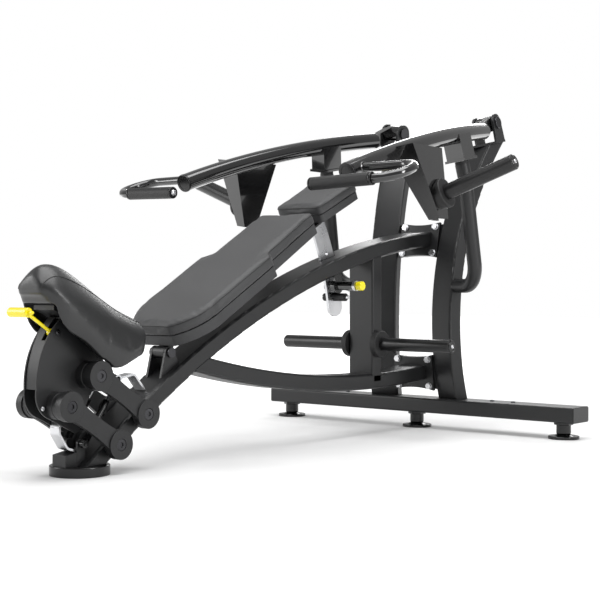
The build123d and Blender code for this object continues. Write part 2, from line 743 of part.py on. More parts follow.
def back_outline(inset=0.0):
    """Board with cut-away shoulders and a rounded lower end."""
    low = BACK_HALF_LOWER - inset
    step = BACK_HALF_STEP - inset
    top = BACK_HALF_TOP - inset
    foot = BACK_HALF_FOOT - inset
    s_step = BACK_STEP_S - inset
    half = [
        Line((0, inset), (foot, inset)),
        ThreePointArc((foot, inset), (foot + (low - foot) * 0.66, 44), (low, 140)),
        Line((low, 140), (low + 2, s_step - 8)),
        ThreePointArc((low + 2, s_step - 8), (low - 1, s_step), (low - 8, s_step + 4)),
        Line((low - 8, s_step + 4), (step, s_step + BACK_STEP_RUN)),
        Line((step, s_step + BACK_STEP_RUN), (top, BACK_LENGTH - inset - 14)),
        ThreePointArc((top, BACK_LENGTH - inset - 14), (top - 4, BACK_LENGTH - inset - 4), (top - 14, BACK_LENGTH - inset)),
        Line((top - 14, BACK_LENGTH - inset), (0, BACK_LENGTH - inset)),
    ]
    other = [edge.mirror(Plane.YZ) for edge in half]
    return make_face(Wire(half + other))


def back_pad():
    cushion = extrude(back_outline(), -CUSHION_T)
    cushion = fillet(cushion.edges().group_by(Axis.Z)[-1], 6)
    return rest_plane() * cushion


def back_pad_cover():
    """Moulded shell under the cushion."""
    board = Pos(0, 0, -CUSHION_T - GAP) * extrude(back_outline(COVER_INSET), -COVER_T)
    return rest_plane() * board


def head_plane():
    tilt = Rot(-HEAD_TILT, 0, 0)
    return Plane(rest_plane().location * Pos(0, HEAD_START_S, -HEAD_DROP) * tilt)


def head_outline(inset=0.0):
    low, high = HEAD_HALF_LOW - inset, HEAD_HALF_HIGH - inset
    end = HEAD_LENGTH - inset
    face = make_face(Polyline((-low, inset), (low, inset), (high, end), (-high, end), close=True))
    return fillet(face.vertices(), 16)


def head_pad():
    cushion = extrude(head_outline(), -HEAD_CUSHION_T)
    cushion = fillet(cushion.edges().group_by(Axis.Z)[-1], 6)
    return head_plane() * cushion


def head_pad_cover():
    board = Pos(0, 0, -HEAD_CUSHION_T - GAP) * extrude(head_outline(COVER_INSET), -HEAD_COVER_T)
    return head_plane() * board


def rest_local(y, z):
    """A point of the mirror plane in backrest coordinates (s up the board, n out of it)."""
    tilt = radians(REST_ANGLE)
    dy, dz = y - REST_FOOT[0], z - REST_FOOT[1]
    return dy * cos(tilt) + dz * sin(tilt), -dy * sin(tilt) + dz * cos(tilt)


def spine_level():
    """Top of the steel bar under the cushion's top face."""
    return -CUSHION_T - GAP - COVER_T - SPINE_DROP


def backrest_spine():
    """Steel bar under the covers with its packing blocks and the hinge lug at its lower end."""
    top = spine_level()
    length = HEAD_START_S + HEAD_LENGTH * 0.66
    start = 30.0
    bar = slab(Plane.XY, SPINE_W, length - start, SPINE_T, 0, (length + start) / 2, top - SPINE_T)
    for s_block in (80, BACK_LENGTH - 60):
        bar = bar + slab(Plane.XY, SPINE_W * 0.7, 70, SPINE_DROP - GAP, 0, s_block, top)
    head_block = slab(Plane.XY, SPINE_W * 0.7, 70, SPINE_DROP + 12, 0, HEAD_START_S + 55, top)
    s, n = rest_local(*REST_HINGE)
    neck_points = [(s - LUG_R, n), (s + LUG_R, n), (s + LUG_R + 34, top - 1), (s - 8, top - 1)]
    neck = side_profile(neck_points, -LUG_HALF, LUG_HALF)
    lug = cylinder_between((-LUG_HALF, s, n), (LUG_HALF, s, n), 2 * LUG_R)
    bore = cylinder_between((-60, s, n), (60, s, n), REST_PIN_D + 2 * RUNNING)
    steel = rest_plane() * (bar + head_block + neck + lug - bore)
    return steel - head_cover_clearance()


def head_cover_clearance():
    """Room for the tilted head cover above the bar."""
    board = Pos(0, 0, 40) * extrude(head_outline(), -HEAD_CUSHION_T - HEAD_COVER_T - GAP - 40)
    return head_plane() * board


def adjuster_arc(radius_in, radius_out, z_low, z_high, half):
    """Band of a circle round the backrest hinge, between two heights."""
    hinge_y, hinge_z = REST_HINGE
    angles = []
    for z in (z_low, z_high):
        angles.append(asin((z - hinge_z) / ((radius_in + radius_out) / 2)))

    def point(radius, angle):
        return (0, hinge_y + radius * cos(angle), hinge_z + radius * sin(angle))

    low, high = angles
    mid = (low + high) / 2
    outline = [
        ThreePointArc(point(radius_in, low), point(radius_in, mid), point(radius_in, high)),
        Line(point(radius_in, high), point(radius_out, high)),
        ThreePointArc(point(radius_out, high), point(radius_out, mid), point(radius_out, low)),
        Line(point(radius_out, low), point(radius_in, low)),
    ]
    band = extrude(make_face(outline), amount=half, both=True)
    return band


def on_adjuster(z):
    """y of the adjuster's centre line at a height."""
    hinge_y, hinge_z = REST_HINGE
    return hinge_y + sqrt(ADJUST_R ** 2 - (z - hinge_z) ** 2)


def adjuster_plate():
    """Curved plate with the row of holes for the pull pin."""
    inner, outer = ADJUST_R - ADJUST_W / 2, ADJUST_R + ADJUST_W / 2
    band = adjuster_arc(inner, outer, ADJUST_LOW_Z, 760, ADJUST_T / 2)
    rounding = cross_bar(-ADJUST_T / 2, ADJUST_T / 2, on_adjuster(ADJUST_LOW_Z), ADJUST_LOW_Z, ADJUST_W)
    below_spine = rest_plane() * slab(Plane.XY, 400, 1400, 400, 0, 500, spine_level() - SPINE_T)
    plate = band + rounding - below_spine
    hinge_y, hinge_z = REST_HINGE
    first = asin((PULL_Z - hinge_z) / ADJUST_R)
    for index in range(ADJUST_HOLES):
        angle = first + radians(index * ADJUST_HOLE_STEP)
        y, z = hinge_y + ADJUST_R * cos(angle), hinge_z + ADJUST_R * sin(angle)
        plate = plate - cross_bar(-20, 20, y, z, ADJUST_HOLE_D)
    return plate


def stop_pin_place():
    """y, z of the stop pin, its rubbers resting against the pull pin housing."""
    hinge_y, hinge_z = REST_HINGE
    apart = (PULL_HOUSING_D + STOP_RUBBER_D) / 2 + GAP
    angle = asin((PULL_Z - hinge_z) / ADJUST_R) - 2 * asin(apart / 2 / ADJUST_R)
    return hinge_y + ADJUST_R * cos(angle), hinge_z + ADJUST_R * sin(angle)


def stop_pin():
    return cross_bar(-44, 62, *stop_pin_place(), STOP_PIN_D)


def stop_pin_rubbers():
    y, z = stop_pin_place()
    half = ADJUST_T / 2
    near = cross_bar(half, 50, y, z, STOP_RUBBER_D)
    far = cross_bar(-36, -half, y, z, STOP_RUBBER_D)
    bore = cross_bar(-90, 90, y, z, STOP_PIN_D)
    return group([near - bore, far - bore])


def adjuster_slot():
    """Opening for the adjuster plate through the main beam."""
    play = 4.0
    inner, outer = ADJUST_R - ADJUST_W / 2 - play, ADJUST_R + ADJUST_W / 2 + play
    return adjuster_arc(inner, outer, 480, 660, ADJUST_T / 2 + 3)


def backrest_bracket(main_bar):
    """Hinge ears on the main beam."""
    y, z = REST_HINGE
    beam_top = main_beam_z(y)
    ears = []
    for x in (LUG_HALF + 1, -LUG_HALF - 1 - PLATE):
        ear = side_profile([(y - 40, beam_top - 10), (y + 66, beam_top - 20), (y + LUG_R, z), (y - LUG_R, z)], x, x + PLATE)
        ears.append(ear + cross_bar(x, x + PLATE, y, z, 2 * LUG_R))
    bore = cross_bar(-80, 80, y, z, REST_PIN_D + 0.2)
    return group([(ear - bore - main_bar).solids().sort_by(Axis.Z)[-1] for ear in ears])


def backrest_pin():
    y, z = REST_HINGE
    outer = LUG_HALF + 1 + PLATE
    pin = cross_bar(-outer, outer, y, z, REST_PIN_D)
    head = cross_bar(outer, outer + 7, y, z, 28)
    nut = cross_bar(-outer - 9, -outer, y, z, 26)
    return pin + head + nut


def pull_pin_bracket(main_bar):
    """Cheeks either side of the adjuster plate, hung under the main beam."""
    y = on_adjuster(PULL_Z)
    play = 1.5
    inner = ADJUST_T / 2 + play
    top = main_beam_z(y)
    cheeks = []
    for x_from, x_to in ((inner, inner + PULL_HOUSING_L), (-inner - 12, -inner)):
        drum = cross_bar(x_from, x_to, y, PULL_Z, PULL_HOUSING_D if x_from > 0 else 38)
        hanger = side_profile([(y - 17, PULL_Z), (y + 17, PULL_Z), (y + 22, top), (y - 22, top)], min(x_from, x_to), max(x_from, x_to))
        cheeks.append(drum + hanger)
    sleeve = cross_bar(inner + PULL_HOUSING_L, PULL_SLEEVE_END, y, PULL_Z, PULL_SLEEVE_D)
    bore = cross_bar(-60, 200, y, PULL_Z, PULL_PLUNGER_D + 2 * RUNNING)
    outer = cheeks[0] + sleeve - bore - main_bar
    far = cheeks[1] - bore - main_bar
    return group([outer.solids().sort_by(Axis.Z)[0], far.solids().sort_by(Axis.Z)[0]])


def pull_pin_ring():
    y = on_adjuster(PULL_Z)
    ring = cross_bar(PULL_SLEEVE_END, PULL_SLEEVE_END + PULL_RING_T, y, PULL_Z, PULL_SLEEVE_D + 4)
    return ring - cross_bar(60, 200, y, PULL_Z, PULL_PLUNGER_D + 2 * RUNNING)


def pull_pin():
    """Plunger with its tip just clear of the plate."""
    y = on_adjuster(PULL_Z)
    return cross_bar(ADJUST_T / 2 + 0.5, knob_start() + PULL_KNOB_L - 4, y, PULL_Z, PULL_PLUNGER_D)


def knob_start():
    return PULL_SLEEVE_END + PULL_RING_T + 1.5


def pull_knob():
    y = on_adjuster(PULL_Z)
    start = knob_start()
    knob = cross_bar(start, start + PULL_KNOB_L, y, PULL_Z, PULL_KNOB_D)
    knob = fillet(knob.edges().filter_by(GeomType.CIRCLE), 4)
    return knob - pull_pin()


# ---------------------------------------------------------------- seat carriage
def link_front(rear):
    return rear[0] + LINK_VECTOR[0], rear[1] + LINK_VECTOR[1]


def link(rear):
    """Forged link with a boss at each end, on the right side."""
    front = link_front(rear)
    mid_x = (LINK_IN_X + LINK_OUT_X) / 2
    length = sqrt(LINK_VECTOR[0] ** 2 + LINK_VECTOR[1] ** 2)
    along = Vector(0, LINK_VECTOR[0], LINK_VECTOR[1]).normalized()
    plane = Plane(origin=(mid_x, rear[0], rear[1]), x_dir=along, z_dir=(1, 0, 0))
    r = LINK_BOSS_D / 2
    w = LINK_WAIST / 2
    reach = r * 0.72
    rise = sqrt(r ** 2 - reach ** 2)
    upper = ThreePointArc((reach, rise), (length / 2, w), (length - reach, rise))
    lower = ThreePointArc((length - reach, -rise), (length / 2, -w), (reach, -rise))
    ends = [Line((length - reach, rise), (length - reach, -rise)), Line((reach, -rise), (reach, rise))]
    web = extrude(make_face([upper, lower] + ends), LINK_WEB_T / 2, both=True)
    thick = LINK_OUT_X - LINK_IN_X
    bosses = [Pos(s, 0, 0) * Cylinder(r, thick) for s in (0, length)]
    body = plane * (web + bosses[0] + bosses[1])
    for y, z in (rear, front):
        body = body - cross_bar(0, 200, y, z, LINK_PIN_D + 2 * RUNNING)
        body = body - cross_bar(LINK_OUT_X - LINK_RECESS, 200, y, z, LINK_BOLT_HEAD_D + 2)
    return body


def links(rear):
    return both_sides(link(rear))


def link_bolts(points):
    """Button heads in the recesses of the bosses, with their shanks."""
    bolts = []
    seat = LINK_OUT_X - LINK_RECESS
    for y, z in points:
        head = cross_bar(seat + GAP, LINK_OUT_X - 1, y, z, LINK_BOLT_HEAD_D)
        socket = Plane(origin=(LINK_OUT_X - 1, y, z), z_dir=(1, 0, 0)) * extrude(RegularPolygon(7.5, 6), -3)
        shank = cross_bar(LINK_SHANK_X, seat + 1, y, z, LINK_PIN_D)
        bolts.append(head - socket + shank)
    return both_sides(group(bolts))


def beam_bosses(main_bar):
    """Bearing bosses on the sides of the main beam for the rear ends of the links."""
    bosses = []
    for y, z in (LINK_REAR_LOWER, LINK_REAR_UPPER):
        boss = cross_bar(TUBE_W / 2, LINK_IN_X - GAP, y, z, BEAM_BOSS_D)
        core = cross_bar(LINK_SHANK_X, LINK_IN_X, y, z, LINK_PIN_D)
        bosses.append(boss - core)
    return both_sides(group(bosses))


def case_outline():
    """Side plate of the carriage: bowed front edge, foot towards the rack."""
    return [
        ThreePointArc((0, -1600, 412), (0, -1676, 300), (0, -1684, 230)),
        ThreePointArc((0, -1684, 230), (0, -1680, 190), (0, -1655, 160)),
        Line((0, -1655, 160), (0, -1560, 112)),
        ThreePointArc((0, -1560, 112), (0, -1546, 122), (0, -1549, 138)),
        Line((0, -1549, 138), (0, -1490, 240)),
        Line((0, -1490, 240), (0, -1455, 318)),
        Line((0, -1455, 318), (0, -1600, 412)),
    ]


def case_side_plates():
    """Side plates with an ear that reaches back to the gas springs."""
    plate = extrude(make_face(case_outline()), amount=CASE_PLATE, dir=(1, 0, 0))
    y, z = SPRING_HEAD
    ear_points = [(-1500, 216), (y, z - 13), (y, z + 13), (-1470, 300)]
    ear = side_profile(ear_points, 0, CASE_PLATE) + cross_bar(0, CASE_PLATE, y, z, 26)
    return both_sides(Pos(CASE_HALF - CASE_PLATE, 0, 0) * (plate + ear))


def case_front_cover():
    """Bent strip that closes the front of the carriage, slotted for the lever."""
    thickness = 4.0
    inset = 5.0
    outer = ThreePointArc((0, -1600 - inset, 410), (0, -1676 + inset, 300), (0, -1684 + inset, 230))
    strip = sweep(Plane(origin=outer @ 0, x_dir=(1, 0, 0), z_dir=outer % 0) * Rectangle(2 * (CASE_HALF - CASE_PLATE), thickness), path=outer)
    y, z = LEVER_PIVOT
    slot = Pos(LEVER_X, y - 22, z + 12) * Box(LEVER_ROD_D + 12, 90, 62)
    return strip - slot


def carriage_spacers():
    """Round spacers between the side plates and the links."""
    spacers = []
    for rear in (LINK_REAR_LOWER, LINK_REAR_UPPER):
        y, z = link_front(rear)
        body = cross_bar(CASE_HALF, LINK_IN_X - GAP, y, z, SPACER_D)
        core = cross_bar(LINK_SHANK_X, LINK_IN_X, y, z, LINK_PIN_D)
        spacers.append(body - core)
    return both_sides(group(spacers))


def case_bolts():
    """Screws that hold the covers and the seat."""
    screws = []
    for y, z in ((-1617.0, 373.0), (-1649.0, 172.0), (-1480.0, 306.0)):
        face = Plane(origin=(CASE_HALF, y, z), z_dir=(1, 0, 0))
        dome = face * Cylinder(7.5, 4, align=(Align.CENTER, Align.CENTER, Align.MIN))
        screws.append(fillet(dome.edges().group_by(Axis.X)[-1], 2.5))
    return both_sides(group(screws))


def spring_pins_on_case():
    """Pins on the side plates that the rod ends of the gas springs hang on."""
    y, z = SPRING_HEAD
    pin = cross_bar(CASE_HALF, SPRING_X + 6, y, z, SPRING_PIN_D)
    root = cross_bar(CASE_HALF, SPRING_X - 5 - GAP, y, z, SPRING_PIN_D + 8)
    return both_sides(pin + root)


def seat_section(y, crown, half, edge, bottom):
    """Cross-section of the saddle: arched top, short upright sides, flat underside."""
    top = Spline((half, 0, edge), (half * 0.62, 0, edge + (crown - edge) * 0.62), (0, 0, crown),
                 (-half * 0.62, 0, edge + (crown - edge) * 0.62), (-half, 0, edge))
    sides = Polyline((-half, 0, edge), (-half * 0.92, 0, bottom), (half * 0.92, 0, bottom), (half, 0, edge))
    return Pos(0, y, 0) * make_face([top, sides])


# y, crown height, half width, height of the side edge, underside of the skirt
SEAT_STATIONS = (
    (-1688.0, 512.0, 46.0, 492.0, 464.0),
    (-1650.0, 545.0, 72.0, 470.0, 418.0),
    (-1600.0, 542.0, 86.0, 425.0, 364.0),
    (-1545.0, 515.0, 95.0, 380.0, 326.0),
    (-1490.0, 479.0, 101.0, 345.0, 280.0),
    (-1435.0, 447.0, 102.0, 325.0, 284.0),
    (-1390.0, 425.0, 96.0, 335.0, 302.0),
    (-1348.0, 404.0, 62.0, 372.0, 346.0),
)


def seat_hollow():
    """Space under the saddle for the carriage, with room for the bosses of the links."""
    points = [(-1662, 452), (-1600, 424), (-1530, 372), (-1460, 325), (-1402, 302), (-1402, 200), (-1662, 200)]
    hollow = side_profile(points, -64, 64)
    y, z = link_front(LINK_REAR_UPPER)
    return hollow + cross_bar(-92, 92, y, z, LINK_BOSS_D + 10)


def seat_pad():
    """Saddle with a narrow nose and drooping sides."""
    return loft([seat_section(*station) for station in SEAT_STATIONS]) - seat_hollow()


def seat_base(seat, plates):
    """Board under the saddle that the carriage carries."""
    points = [(-1640, 430), (-1604, 414), (-1455, 318), (-1414, 292), (-1414, 312), (-1455, 330), (-1600, 440), (-1640, 452)]
    board = side_profile(points, -CASE_HALF - 14, CASE_HALF + 14) - seat - plates
    return max(board.solids(), key=lambda solid: solid.volume)


def link_length():
    return sqrt(LINK_VECTOR[0] ** 2 + LINK_VECTOR[1] ** 2)


def rack_radius():
    """Middle of the strap's thickness."""
    return link_length() - LOCK_CLEAR - RACK_T / 2


def rack_point(radius, angle):
    y, z = RACK_CENTRE
    return (0, y + radius * cos(radians(angle)), z + radius * sin(radians(angle)))


def lock_angle():
    """Direction of the locking pin, along the links."""
    return degrees(atan2(LINK_VECTOR[1], LINK_VECTOR[0]))


def lock_tip():
    return Vector(*rack_point(link_length(), lock_angle()))


def lock_direction():
    return Vector(0, LINK_VECTOR[0], LINK_VECTOR[1]).normalized()


def strap_along(path):
    section = Rectangle(2 * RACK_HALF, RACK_T)
    return sweep(Plane(origin=path @ 0, x_dir=(1, 0, 0), z_dir=path % 0) * section, path=path)


def seat_rack():
    """Bent steel strap with locking holes, from the front foot over to the top of the beam."""
    radius = rack_radius()
    high, low = RACK_ANGLES
    arc = ThreePointArc(rack_point(radius, low), rack_point(radius, (low + high) / 2), rack_point(radius, high))
    lower = FilletPolyline(rack_point(radius, low), (0, -1604, 112), (0, -1578, 73), (0, -1545, 63), radius=12)
    upper = FilletPolyline(rack_point(radius, high), (0, -1346, 252), (0, -1309, 209), radius=8)
    strap = strap_along(arc) + strap_along(lower) + strap_along(upper)
    for index in range(RACK_HOLES):
        angle = lock_angle() - index * RACK_HOLE_STEP
        strap = strap - cylinder_between(rack_point(radius - 20, angle), rack_point(radius + 20, angle), LOCK_PIN_D + 1)
    return strap


def foot_bracket(main_bar, strap):
    """Block on the front foot that holds the strap and the gas springs."""
    points = [(-1592, FRONT_FOOT_T), (-1592, 56), (-1556, 62), (-1535, FRONT_FOOT_T + 30), (-1515, FRONT_FOOT_T)]
    post = side_profile(points, -RACK_HALF - 8, RACK_HALF + 8)
    y, z = SPRING_FOOT
    x_out = SPRING_X - SPRING_BODY_D / 2 - GAP
    x_in = x_out - 7
    arm = side_profile([(y - 16, 34), (y + 14, 40), (y + 12, z), (y - 12, z)], x_in, x_out)
    eye = cross_bar(x_in, x_out, y, z, 24)
    pin = cross_bar(x_in, SPRING_X + 8, y, z, SPRING_PIN_D)
    side = arm + eye + pin
    body = post + side + mirrored(side) - main_bar - strap
    return max(body.solids(), key=lambda solid: solid.volume)


def lock_pin():
    """Locking pin with a ball tip, drawn just clear of the strap."""
    out, tip = lock_direction(), lock_tip()
    ball = tip + out * (LOCK_PIN_D / 2)
    pin = cylinder_between(ball, tip + out * 44, LOCK_PIN_D) + Pos(*ball) * Sphere(LOCK_PIN_D / 2)
    return pin + cylinder_between(tip + out * 36, tip + out * 41, LOCK_PIN_D + 6)


def lock_guide():
    """Guide block between the side plates that the locking pin runs in."""
    plane = Plane(origin=lock_tip() + lock_direction() * 12, x_dir=(1, 0, 0), z_dir=lock_direction())
    block = slab(plane, 2 * (CASE_HALF - CASE_PLATE), 19, 16)
    return block - plane * Cylinder(LOCK_PIN_D / 2 + RUNNING, 200)


# ---------------------------------------------------------------- seat lever
def seat_lever():
    """Bent rod from the pivot in the carriage out to the grip."""
    y0, z0 = LEVER_PIVOT
    y1, z1 = LEVER_BEND
    rod = cylinder_between((LEVER_X, y0, z0), (LEVER_X, y1, z1), LEVER_ROD_D)
    bar = cross_bar(LEVER_GRIP_X[0] + 6, LEVER_GRIP_X[1] + 4, y1, z1, LEVER_ROD_D)
    pivot = cross_bar(LEVER_X - 8, CASE_HALF - CASE_PLATE - GAP, y0, z0, 20)
    bore = cross_bar(-60, 60, y0, z0, 8 + 2 * RUNNING)
    return rod + bar + pivot - bore


def lever_pivot_pin():
    y0, z0 = LEVER_PIVOT
    return cross_bar(-CASE_HALF + CASE_PLATE, CASE_HALF - CASE_PLATE, y0, z0, 8)


def lever_grip():
    y1, z1 = LEVER_BEND
    grip = cross_bar(LEVER_GRIP_X[0], LEVER_GRIP_X[1] - LEVER_CAP_T, y1, z1, LEVER_GRIP_D)
    grip = fillet(grip.edges().filter_by(GeomType.CIRCLE), 3)
    return grip - seat_lever()


# ---------------------------------------------------------------- gas springs
def spring_axis():
    foot = Vector(SPRING_X, *SPRING_FOOT)
    head = Vector(SPRING_X, *SPRING_HEAD)
    return foot, (head - foot).normalized(), (head - foot).length


def gas_cylinders():
    foot, axis, _ = spring_axis()
    ring = cross_bar(foot.X - SPRING_EYE_HALF, foot.X + SPRING_EYE_HALF, foot.Y, foot.Z, SPRING_EYE_D)
    bore = cross_bar(foot.X - 10, foot.X + 10, foot.Y, foot.Z, SPRING_PIN_D + 2 * RUNNING)
    body = cylinder_between(foot + axis * 8, foot + axis * (8 + SPRING_BODY_L), SPRING_BODY_D)
    rod_bore = cylinder_between(foot + axis * 18, foot + axis * 200, SPRING_ROD_D + 2 * RUNNING)
    return both_sides(ring + body - bore - rod_bore)


def gas_rods():
    """Rods with wide eyes, so that the open joint has play."""
    foot, axis, length = spring_axis()
    head = foot + axis * length
    hole = SPRING_PIN_D + 2 * SPRING_PLAY
    ring = cross_bar(head.X - 5, head.X + 5, head.Y, head.Z, hole + 9)
    bore = cross_bar(head.X - 10, head.X + 10, head.Y, head.Z, hole)
    rod = cylinder_between(foot + axis * 22, head - axis * (hole / 2 + 1), SPRING_ROD_D)
    return both_sides(ring + rod - bore)


# ---------------------------------------------------------------- the whole machine
def frame_nodes():
    tube, bar = uprights()
    beam_tube, beam_bar = main_beam()
    low_tube, low_bar = lower_beam(beam_bar)
    strap = seat_rack() - beam_bar
    return {
        "base_beam": base_beam(),
        "base_end_caps": base_end_caps(),
        "rear_feet": group([rear_feet(), rear_foot_stems()]),
        "front_foot": front_foot(),
        "uprights": both_sides(tube),
        "main_beam": beam_tube - adjuster_slot(),
        "lower_beam": low_tube,
        "middle_post": middle_post(beam_bar, low_bar),
        "beam_flanges": beam_flanges(),
        "cross_plates": cross_plates([bar, mirrored(bar)]),
        "flange_bolts": flange_bolts(),
        "storage_horns": storage_horns(),
        "storage_collars": storage_collars(),
        "stop_tubes": both_sides(stop_tube(bar)),
        "stop_bumpers": both_sides(bumper()),
        "pivot_brackets": both_sides(pivot_bracket()),
        "pivot_pins": both_sides(group([pivot_pin(), pivot_washers()])),
        "backrest_bracket": backrest_bracket(beam_bar),
        "backrest_hinge_pin": backrest_pin(),
        "pull_pin_housing": pull_pin_bracket(beam_bar),
        "pull_pin_ring": pull_pin_ring(),
        "link_bosses": beam_bosses(beam_bar),
        "rear_link_bolts": link_bolts((LINK_REAR_LOWER, LINK_REAR_UPPER)),
        "seat_rack": max(strap.solids(), key=lambda solid: solid.volume),
        "foot_bracket": foot_bracket(beam_bar, strap),
    }


def arm_nodes(side, place):
    """Pieces of one press arm, placed on its side."""
    tube, bar = arm_tube()
    pieces = {
        "press_arm": group([tube, arm_neck() - bar, stop_block(bar)]),
        "horn_bracket": horn_bracket(bar),
        "weight_horn": weight_horn() + bracket_bolt(),
        "horn_rubber": horn_rubber(),
        "handle": handle(bar),
        "handle_grip": handle_grip(),
        "arm_caps": group([arm_end_cap(), grip_cap()]),
    }
    return {side + "_" + name: place(to_world(part)) for name, part in pieces.items()}


def backrest_nodes():
    return {
        "back_pad": back_pad(),
        "head_pad": head_pad(),
        "pad_covers": group([back_pad_cover(), head_pad_cover()]),
        "backrest_spine": backrest_spine(),
        "adjuster_plate": adjuster_plate() + stop_pin(),
        "stop_rubbers": stop_pin_rubbers(),
        "pull_pin": pull_pin(),
        "pull_knob": pull_knob(),
    }


def seat_nodes():
    seat, plates = seat_pad(), case_side_plates()
    inner = [carriage_spacers(), spring_pins_on_case(), lock_guide(), lever_pivot_pin(), seat_base(seat, plates)]
    front_pivots = (link_front(LINK_REAR_LOWER), link_front(LINK_REAR_UPPER))
    return {
        "lower_links": links(LINK_REAR_LOWER),
        "upper_links": links(LINK_REAR_UPPER),
        "seat_pad": seat,
        "case_side_plates": plates,
        "case_front_cover": case_front_cover(),
        "carriage_fittings": group(inner),
        "carriage_screws": case_bolts(),
        "front_link_bolts": link_bolts(front_pivots),
        "lock_pin": lock_pin(),
        "seat_lever": seat_lever(),
        "lever_grip": lever_grip(),
        "gas_cylinders": gas_cylinders(),
        "gas_rods": gas_rods(),
    }


def main():
    os.makedirs("parts", exist_ok=True)
    nodes = frame_nodes()
    nodes.update(arm_nodes("right", lambda part: part))
    nodes.update(arm_nodes("left", mirrored))
    nodes.update(backrest_nodes())
    nodes.update(seat_nodes())
    for name, part in nodes.items():
        export_step(part, "parts/" + name + ".step")
    print(len(nodes), "nodes")


main()
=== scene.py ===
# %% [markdown]
# # A plate-loaded incline chest press
# The steel of this machine is exact: it was drawn in CAD and is loaded here as a fixed frame.
# Blender adds what CAD can't: padding that swells, seams, small screws and plugs, and surfaces
# that look like powder coat, zinc, leather and rubber. Lengths are in metres, +Z is up.

import bpy
import bmesh
import json
import math
from mathutils import Matrix, Vector


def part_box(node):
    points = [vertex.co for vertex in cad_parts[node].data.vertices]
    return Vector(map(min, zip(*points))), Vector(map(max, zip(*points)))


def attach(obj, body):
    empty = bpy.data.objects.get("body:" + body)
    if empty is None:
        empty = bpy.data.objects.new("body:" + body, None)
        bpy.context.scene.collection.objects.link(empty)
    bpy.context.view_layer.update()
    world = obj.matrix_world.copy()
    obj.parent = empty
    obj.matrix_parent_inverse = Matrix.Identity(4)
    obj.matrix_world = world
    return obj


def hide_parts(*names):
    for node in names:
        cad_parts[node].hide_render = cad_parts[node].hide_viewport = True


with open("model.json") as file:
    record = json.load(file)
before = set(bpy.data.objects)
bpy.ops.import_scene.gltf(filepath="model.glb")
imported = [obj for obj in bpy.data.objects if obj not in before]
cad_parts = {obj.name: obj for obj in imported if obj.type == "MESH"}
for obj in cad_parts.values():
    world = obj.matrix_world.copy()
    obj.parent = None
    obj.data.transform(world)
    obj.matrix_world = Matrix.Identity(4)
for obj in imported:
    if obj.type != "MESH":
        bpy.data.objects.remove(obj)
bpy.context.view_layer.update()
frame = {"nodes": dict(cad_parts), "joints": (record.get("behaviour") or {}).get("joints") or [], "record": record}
nodes = frame["nodes"]
joints = {joint["name"]: joint for joint in frame["joints"]}
mounts = {mount["name"]: mount for mount in frame["record"]["mounts"]}

# %% [markdown]
# ## Camera
# A long lens from far away keeps the tubes nearly parallel. The camera
# stands at the height of the seat and looks level, so the floor is seen edge on and the machine's
# three parts - seat, pad and arms - spread out side by side.

# %% Camera
camera_data = bpy.data.cameras.new("catalogue_camera")
camera_data.lens = 79.14
camera_data.sensor_width = 36.0
camera_data.clip_end = 60.0
camera = bpy.data.objects.new("catalogue_camera", camera_data)
camera.location = (2.6459, -3.7752, 0.4948)
camera.rotation_euler = (math.radians(90 - 0.69), 0.0, math.radians(40.10))
bpy.context.scene.collection.objects.link(camera)
bpy.context.scene.camera = camera
print("camera at", tuple(round(v, 2) for v in camera.location))

# %% [markdown]
# ## Floor and light
# A black machine is drawn by what it reflects. A wide softbox above lights the top faces, and
# three more boxes, at the front left, the right and behind, put the long bright lines on the
# glossy arms. The room is white to look at but dim as a light, so black paint stays black.

# %% Floor
def link(obj):
    bpy.context.scene.collection.objects.link(obj)
    return obj


def mesh_object(name, bm, smooth=True):
    """A new object from a bmesh."""
    mesh = bpy.data.meshes.new(name)
    bm.to_mesh(mesh)
    bm.free()
    for face in mesh.polygons:
        face.use_smooth = smooth
    return link(bpy.data.objects.new(name, mesh))


floor_half = 14.0
floor_drop = 0.0005          # just under the feet, so no two faces share a plane
machine_centre = Vector((0.0, -0.75, 0.5))
floor_mesh = bmesh.new()
bmesh.ops.create_grid(floor_mesh, x_segments=4, y_segments=4, size=floor_half)
floor = mesh_object("studio_floor", floor_mesh)
floor.location = (0.0, -0.7, -floor_drop)
print("floor", 2 * floor_half, "m across")

# %% Lights
def softbox(name, place, target, size, power, tint=(1.0, 1.0, 1.0)):
    """A square area light that faces a point."""
    data = bpy.data.lights.new(name, "AREA")
    data.shape = "RECTANGLE"
    data.size, data.size_y = size
    data.energy = power
    data.color = tint
    light = link(bpy.data.objects.new(name, data))
    light.location = place
    aim = Vector(target) - Vector(place)
    light.rotation_euler = aim.to_track_quat("-Z", "Y").to_euler()
    return light


softbox("box_above", (0.3, -1.0, 3.6), machine_centre, (3.4, 3.0), 120)
softbox("box_front_left", (-3.0, -3.6, 2.0), machine_centre, (1.2, 2.6), 60)
softbox("box_right", (4.2, -0.4, 2.2), machine_centre, (0.8, 2.6), 75)
softbox("box_behind", (-1.6, 3.4, 2.4), machine_centre, (2.6, 1.0), 60)

room = bpy.data.worlds.new("white_room")
room.use_nodes = True
background = room.node_tree.nodes["Background"]
background.inputs["Color"].default_value = (1.0, 1.0, 1.0, 1.0)
seen = room.node_tree.nodes.new("ShaderNodeLightPath")
level = room.node_tree.nodes.new("ShaderNodeMapRange")
level.inputs["To Min"].default_value = 0.42
level.inputs["To Max"].default_value = 1.0
room.node_tree.links.new(seen.outputs["Is Camera Ray"], level.inputs["Value"])
room.node_tree.links.new(level.outputs["Result"], background.inputs["Strength"])
bpy.context.scene.world = room
bpy.context.scene.view_settings.view_transform = "Standard"

# %% [markdown]
# ## Finishes
# Each finish is a small node tree on one pattern: a colour that drifts a little over the surface,
# a roughness that drifts with it, and a bump at the real scale of the surface. Object coordinates
# are metres here, so a noise scale of 1000 means features of about a millimetre.

